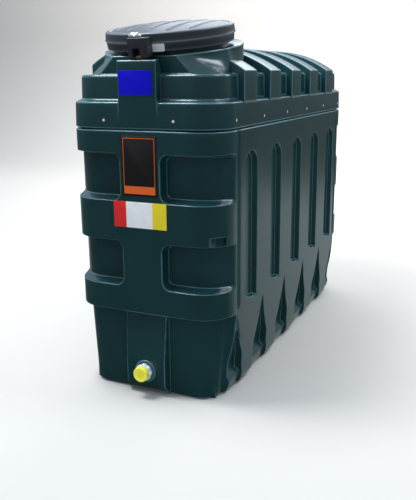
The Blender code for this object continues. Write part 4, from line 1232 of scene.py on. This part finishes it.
# %% The two plates with fields of colour
def fields(name, base, bands):
    """A sheet whose colour changes at straight lines; a band is a list of (axis, low, high) and a colour."""
    finish, shader, link, node = new_finish(name)
    where = node("ShaderNodeTexCoord")
    split = node("ShaderNodeSeparateXYZ")
    link(where.outputs["Object"], split.inputs[0])
    wash = node("ShaderNodeTexNoise", Scale=18.0, Detail=4.0)
    link(where.outputs["Object"], wash.inputs["Vector"])
    tone = ramp(node, [(0.3, tuple(c * 0.88 for c in base)), (0.7, base)])
    link(wash.outputs["Fac"], tone.inputs["Fac"])
    current = tone.outputs["Color"]
    for boxes, colour in bands:
        mask = None
        for axis, low, high in boxes:
            for operation, value in (("GREATER_THAN", low), ("LESS_THAN", high)):
                test = node("ShaderNodeMath", operation=operation)
                link(split.outputs["XYZ".index(axis)], test.inputs[0])
                test.inputs[1].default_value = value
                if mask is None:
                    mask = test.outputs[0]
                else:
                    both = node("ShaderNodeMath", operation="MULTIPLY")
                    link(mask, both.inputs[0])
                    link(test.outputs[0], both.inputs[1])
                    mask = both.outputs[0]
        painted = node("ShaderNodeMix", data_type="RGBA")
        painted.inputs[MIX_B].default_value = (*colour, 1.0)
        link(mask, painted.inputs[MIX_SHARE])
        link(current, painted.inputs[MIX_A])
        current = painted.outputs[MIX_OUT]
    link(current, shader.inputs["Base Color"])
    spread_roughness(node, link, shader, wash.outputs["Fac"], 0.28, 0.41)
    ripple = node("ShaderNodeBump", Strength=0.05, Distance=0.0008)
    link(wash.outputs["Fac"], ripple.inputs["Height"])
    link(ripple.outputs["Normal"], shader.inputs["Normal"])
    return finish


ORANGE, INK = (0.86, 0.13, 0.012), (0.010, 0.008, 0.008)
DATA = fields("data_sheet", INK, [
    ([("X", -0.0700, 0.0700), ("Z", 0.8550, 1.0740)], ORANGE),
    ([("X", -0.0678, 0.0678), ("Z", 0.8860, 1.0718)], INK),
])
COLOURS = fields("colour_sheet", (0.92, 0.92, 0.90), [
    ([("X", -1.0, -0.065)], (0.75, 0.012, 0.010)),
    ([("X", 0.054, 1.0)], (0.90, 0.70, 0.015)),
])
print("finishes in all", len(bpy.data.materials))


# %% [markdown]
# ## Finishes on the pieces
#
# Handling rubs a moulding lighter along its outer edges. The same lighter colour is laid on outer edges and
# inner corners alike, and there it is also a painted highlight for the bright lines that light draws on
# them. Both follow from how sharply the surface bends, so that is measured once at every point of the mesh
# and kept as an attribute, which the plastic reads. Small pieces have too few points for it, and go without.
# Solids that no new piece stands for keep their own shape and take the finish of their slot.

# %% Which finish goes where
LOOKS = {
    # The screw heads take the white finish as a painted highlight for their plated steel
    "plate_notice": BLUE, "plate_data": DATA, "plate_colours": COLOURS, "tag_card": WHITE,
    "lock_barrel": STEEL, "lock_tongue": BRASS, "lock_hasp": BLACK, "lid_shell": BLACK,
    "cap_inspection": BLACK, "cap_fill": BLACK, "cap_vent": BLACK, "cap_gauge": STEEL,
    "screw_washers": BLACK, "screw_heads": WHITE, "outlet_nut": WHITE, "outlet_plug": YELLOW,
}
# Pieces that get no lighter edges, neither rubbing nor painted highlight
NO_WEAR_OR_SHEEN = {"plate_notice", "plate_data", "plate_colours", "tag_card", "lock_hasp", "lock_tongue",
          "lock_barrel", "screw_washers", "screw_heads"}
NODE_LOOKS = {"green_plastic": GREEN, "black_plastic": BLACK, "inner_plastic": INNER, "steel": STEEL,
              "brass": BRASS, "white_plastic": WHITE, "yellow_plastic": YELLOW, "blue_plate": BLUE,
              "black_plate": DATA}
print("pieces", len(pieces), "of them not green", len(LOOKS))


# %% Wear and painted edge highlights from the bend of the surface
def mark_wear_and_sheen(piece, strength):
    """Writes a value from how sharply the surface bends at each point: outer edges and inner corners both
    get the lighter colour, partly as rubbing and partly as a painted highlight.

    The bend is the height of a point over its neighbours, shared by the square of their distance.
    """
    mesh = piece.data
    count = len(mesh.vertices)
    co = np.zeros(count * 3)
    mesh.vertices.foreach_get("co", co)
    co = co.reshape(-1, 3)
    normal = np.zeros(count * 3)
    mesh.vertices.foreach_get("normal", normal)
    normal = normal.reshape(-1, 3)
    ends = np.zeros(len(mesh.edges) * 2, int)
    mesh.edges.foreach_get("vertices", ends)
    a, b = ends.reshape(-1, 2).T
    gap = co[b] - co[a]
    length = np.maximum(np.linalg.norm(gap, axis=1), 1e-9)
    bend_a = -(gap * normal[a]).sum(1) / length ** 2
    bend_b = (gap * normal[b]).sum(1) / length ** 2
    total = np.bincount(a, bend_a, count) + np.bincount(b, bend_b, count)
    near = np.bincount(a, minlength=count) + np.bincount(b, minlength=count)
    bend = total / np.maximum(near, 1)
    # Outer edges and inner corners are both lightened: partly rubbing, partly painted highlight
    wear_and_sheen = strength * (soft((bend - 10.0) / 45.0) + 0.8 * soft((-bend - 14.0) / 50.0))
    layer = mesh.attributes.get("wear_and_sheen") or mesh.attributes.new("wear_and_sheen", "FLOAT", "POINT")
    layer.data.foreach_set("value", wear_and_sheen.astype(np.float32))


for name, piece in pieces.items():
    piece.data.materials.clear()
    piece.data.materials.append(LOOKS.get(name, GREEN))
    mark_wear_and_sheen(piece, 0.0 if name in NO_WEAR_OR_SHEEN else 0.7)

# %% Finishes of the kept solids
slot_of = {entry["node"]: entry["material_slot"] for entry in frame["record"]["subparts"]}
for name, solid in frame["nodes"].items():
    if not solid.hide_render:
        finish = NODE_LOOKS[slot_of[name]]
        if not solid.data.materials:
            solid.data.materials.append(finish)
        for place in range(len(solid.data.materials)):
            solid.data.materials[place] = finish
        print("kept solid", name)


# %% [markdown]
# ## Floor, light and camera
#
# The photograph is a cut-out on white: a bright pale floor, a broad soft light from above and the right,
# and little light behind the camera, which keeps the front dark and lets the long side shine at its low
# angle.

# %% Floor and backdrop
def stage_sheet():
    """A floor that curves up into a wall behind the tank: a line, a quarter round and a line."""
    t = np.linspace(0, math.pi / 2, 17)
    y = np.concatenate([[-9.0, 0.0, 4.0], 5.0 + 2.0 * np.sin(t), [7.0]])
    z = np.concatenate([[0.0, 0.0, 0.0], 2.0 - 2.0 * np.cos(t), [9.0]])
    x = np.array([-12.0, 12.0])
    points = np.stack(np.broadcast_arrays(x[None, :], y[:, None], z[:, None]), -1)
    mesh = bpy.data.meshes.new("studio_floor")
    mesh.from_pydata(points.reshape(-1, 3).tolist(), [], quads(len(y), 2).tolist())
    mesh.shade_smooth()
    sheet = bpy.data.objects.new("studio_floor", mesh)
    bpy.context.scene.collection.objects.link(sheet)
    finish, shader = new_finish("pale_floor")[:2]
    shader.inputs["Base Color"].default_value = (0.575, 0.543, 0.508, 1.0)
    shader.inputs["Roughness"].default_value = 0.85
    shader.inputs["Specular IOR Level"].default_value = 0.1
    mesh.materials.append(finish)
    sheet.visible_glossy = False
    print("floor", len(mesh.polygons), "faces")
    return sheet


stage_sheet()


# %% Lights
def softbox(name, place, target, width, height, power, colour):
    """A rectangular light that looks at a point."""
    data = bpy.data.lights.new(name, "AREA")
    data.shape = "RECTANGLE"
    data.size, data.size_y = width, height
    data.energy = power
    data.color = colour
    light = bpy.data.objects.new(name, data)
    bpy.context.scene.collection.objects.link(light)
    light.location = place
    aim = Vector(target) - Vector(place)
    light.rotation_euler = aim.to_track_quat("-Z", "Y").to_euler()
    print("light", name, power, "W at", round(aim.length, 2), "m")
    return light


softbox("overhead", (-1.1, -1.0, 3.8), (0.0, 0.0, 0.9), 1.1, 1.6, 170, (0.90, 0.95, 1.0))
softbox("back_sky", (0.0, 6.0, 4.3), (0.0, 0.2, 1.2), 8.0, 1.6, 145, (0.86, 0.93, 1.0))
softbox("backdrop_wash", (0.0, 3.4, 5.4), (0.0, 6.6, 1.4), 9.0, 2.0, 560, (0.98, 0.99, 1.0))
softbox("right_panel", (2.5, 0.4, 4.5), (0.0, -0.3, 1.0), 1.5, 1.5, 80, (0.88, 0.94, 1.0))


# %% [markdown]
# ## The air round the stage
#
# A dark satin plastic shows little of its own colour: most of what is seen on it is what it mirrors. The
# floor is hidden from mirrored rays, so the air stands in for the yard round the tank: dull below the
# horizon, pale blue above it, and a pale ground far behind, which only the long side mirrors.

# %% The world
def yard_air():
    """Sky by height, plus a ground glow: a ramp just under the horizon times a ramp of how far back."""
    world = bpy.data.worlds.new("yard_air")
    world.use_nodes = True
    node, link = node_maker(world.node_tree), world.node_tree.links.new
    where = node("ShaderNodeTexCoord")
    split = node("ShaderNodeSeparateXYZ")
    link(where.outputs["Generated"], split.inputs[0])

    def by_direction(axis, stops):
        """A colour ramp of one direction number, moved from -1..1 to 0..1."""
        share = node("ShaderNodeMath", operation="MULTIPLY_ADD")
        share.inputs[1].default_value = 0.5
        share.inputs[2].default_value = 0.5
        made = ramp(node, stops)
        link(split.outputs[axis], share.inputs[0])
        link(share.outputs[0], made.inputs["Fac"])
        return made.outputs["Color"]

    def combined(how, first, second):
        """Two colours multiplied or added in full."""
        made = node("ShaderNodeMix", data_type="RGBA", blend_type=how)
        made.inputs[MIX_SHARE].default_value = 1.0
        link(first, made.inputs[MIX_A])
        link(second, made.inputs[MIX_B])
        return made.outputs[MIX_OUT]

    sky = by_direction("Z", [(0.30, (0.055, 0.052, 0.048)), (0.48, (0.120, 0.115, 0.110)),
                             (0.55, (0.28, 0.30, 0.32)), (0.64, (0.48, 0.58, 0.70)),
                             (0.80, (0.58, 0.71, 0.86))])
    ground = by_direction("Z", [(0.10, (0.13, 0.14, 0.14)), (0.33, (0.34, 0.39, 0.39)),
                                (0.408, (0.44, 0.52, 0.53)), (0.434, (0.0, 0.0, 0.0))])
    behind = by_direction("Y", [(0.62, (0.0, 0.0, 0.0)), (0.88, (1.0, 1.0, 1.0))])
    total = combined("ADD", sky, combined("MULTIPLY", ground, behind))
    link(total, world.node_tree.nodes["Background"].inputs["Color"])
    bpy.context.scene.world = world
    print("nodes in the air", len(world.node_tree.nodes))


yard_air()


# %% Camera
PHOTO_HEIGHT, FOCAL_LENGTH = 500.0, 683.58
SENSOR = 36.0


def camera():
    """The photograph's viewpoint, worked out from the tank's own edges.

    The lens is the sensor's height times the focal length over the photograph's height, both in pixels.
    """
    data = bpy.data.cameras.new("studio_camera")
    data.sensor_fit = "VERTICAL"
    data.sensor_height = SENSOR
    data.lens = SENSOR * FOCAL_LENGTH / PHOTO_HEIGHT
    data.dof.use_dof = False
    eye = bpy.data.objects.new("studio_camera", data)
    bpy.context.scene.collection.objects.link(eye)
    yaw, pitch, roll = math.radians(24.525), math.radians(-14.46), math.radians(-0.473)
    turn = Matrix.Rotation(yaw, 4, "Z") @ Matrix.Rotation(math.pi / 2 + pitch, 4, "X")
    turn = turn @ Matrix.Rotation(roll, 4, "Z")
    eye.matrix_world = Matrix.Translation((1.3455, -3.2164, 1.3124)) @ turn
    bpy.context.scene.camera = eye
    print("lens", round(data.lens, 2), "mm")
    return eye


camera()
bpy.context.scene.view_settings.view_transform = "Standard"

# %% Bring the scene up to date
bpy.context.view_layer.update()
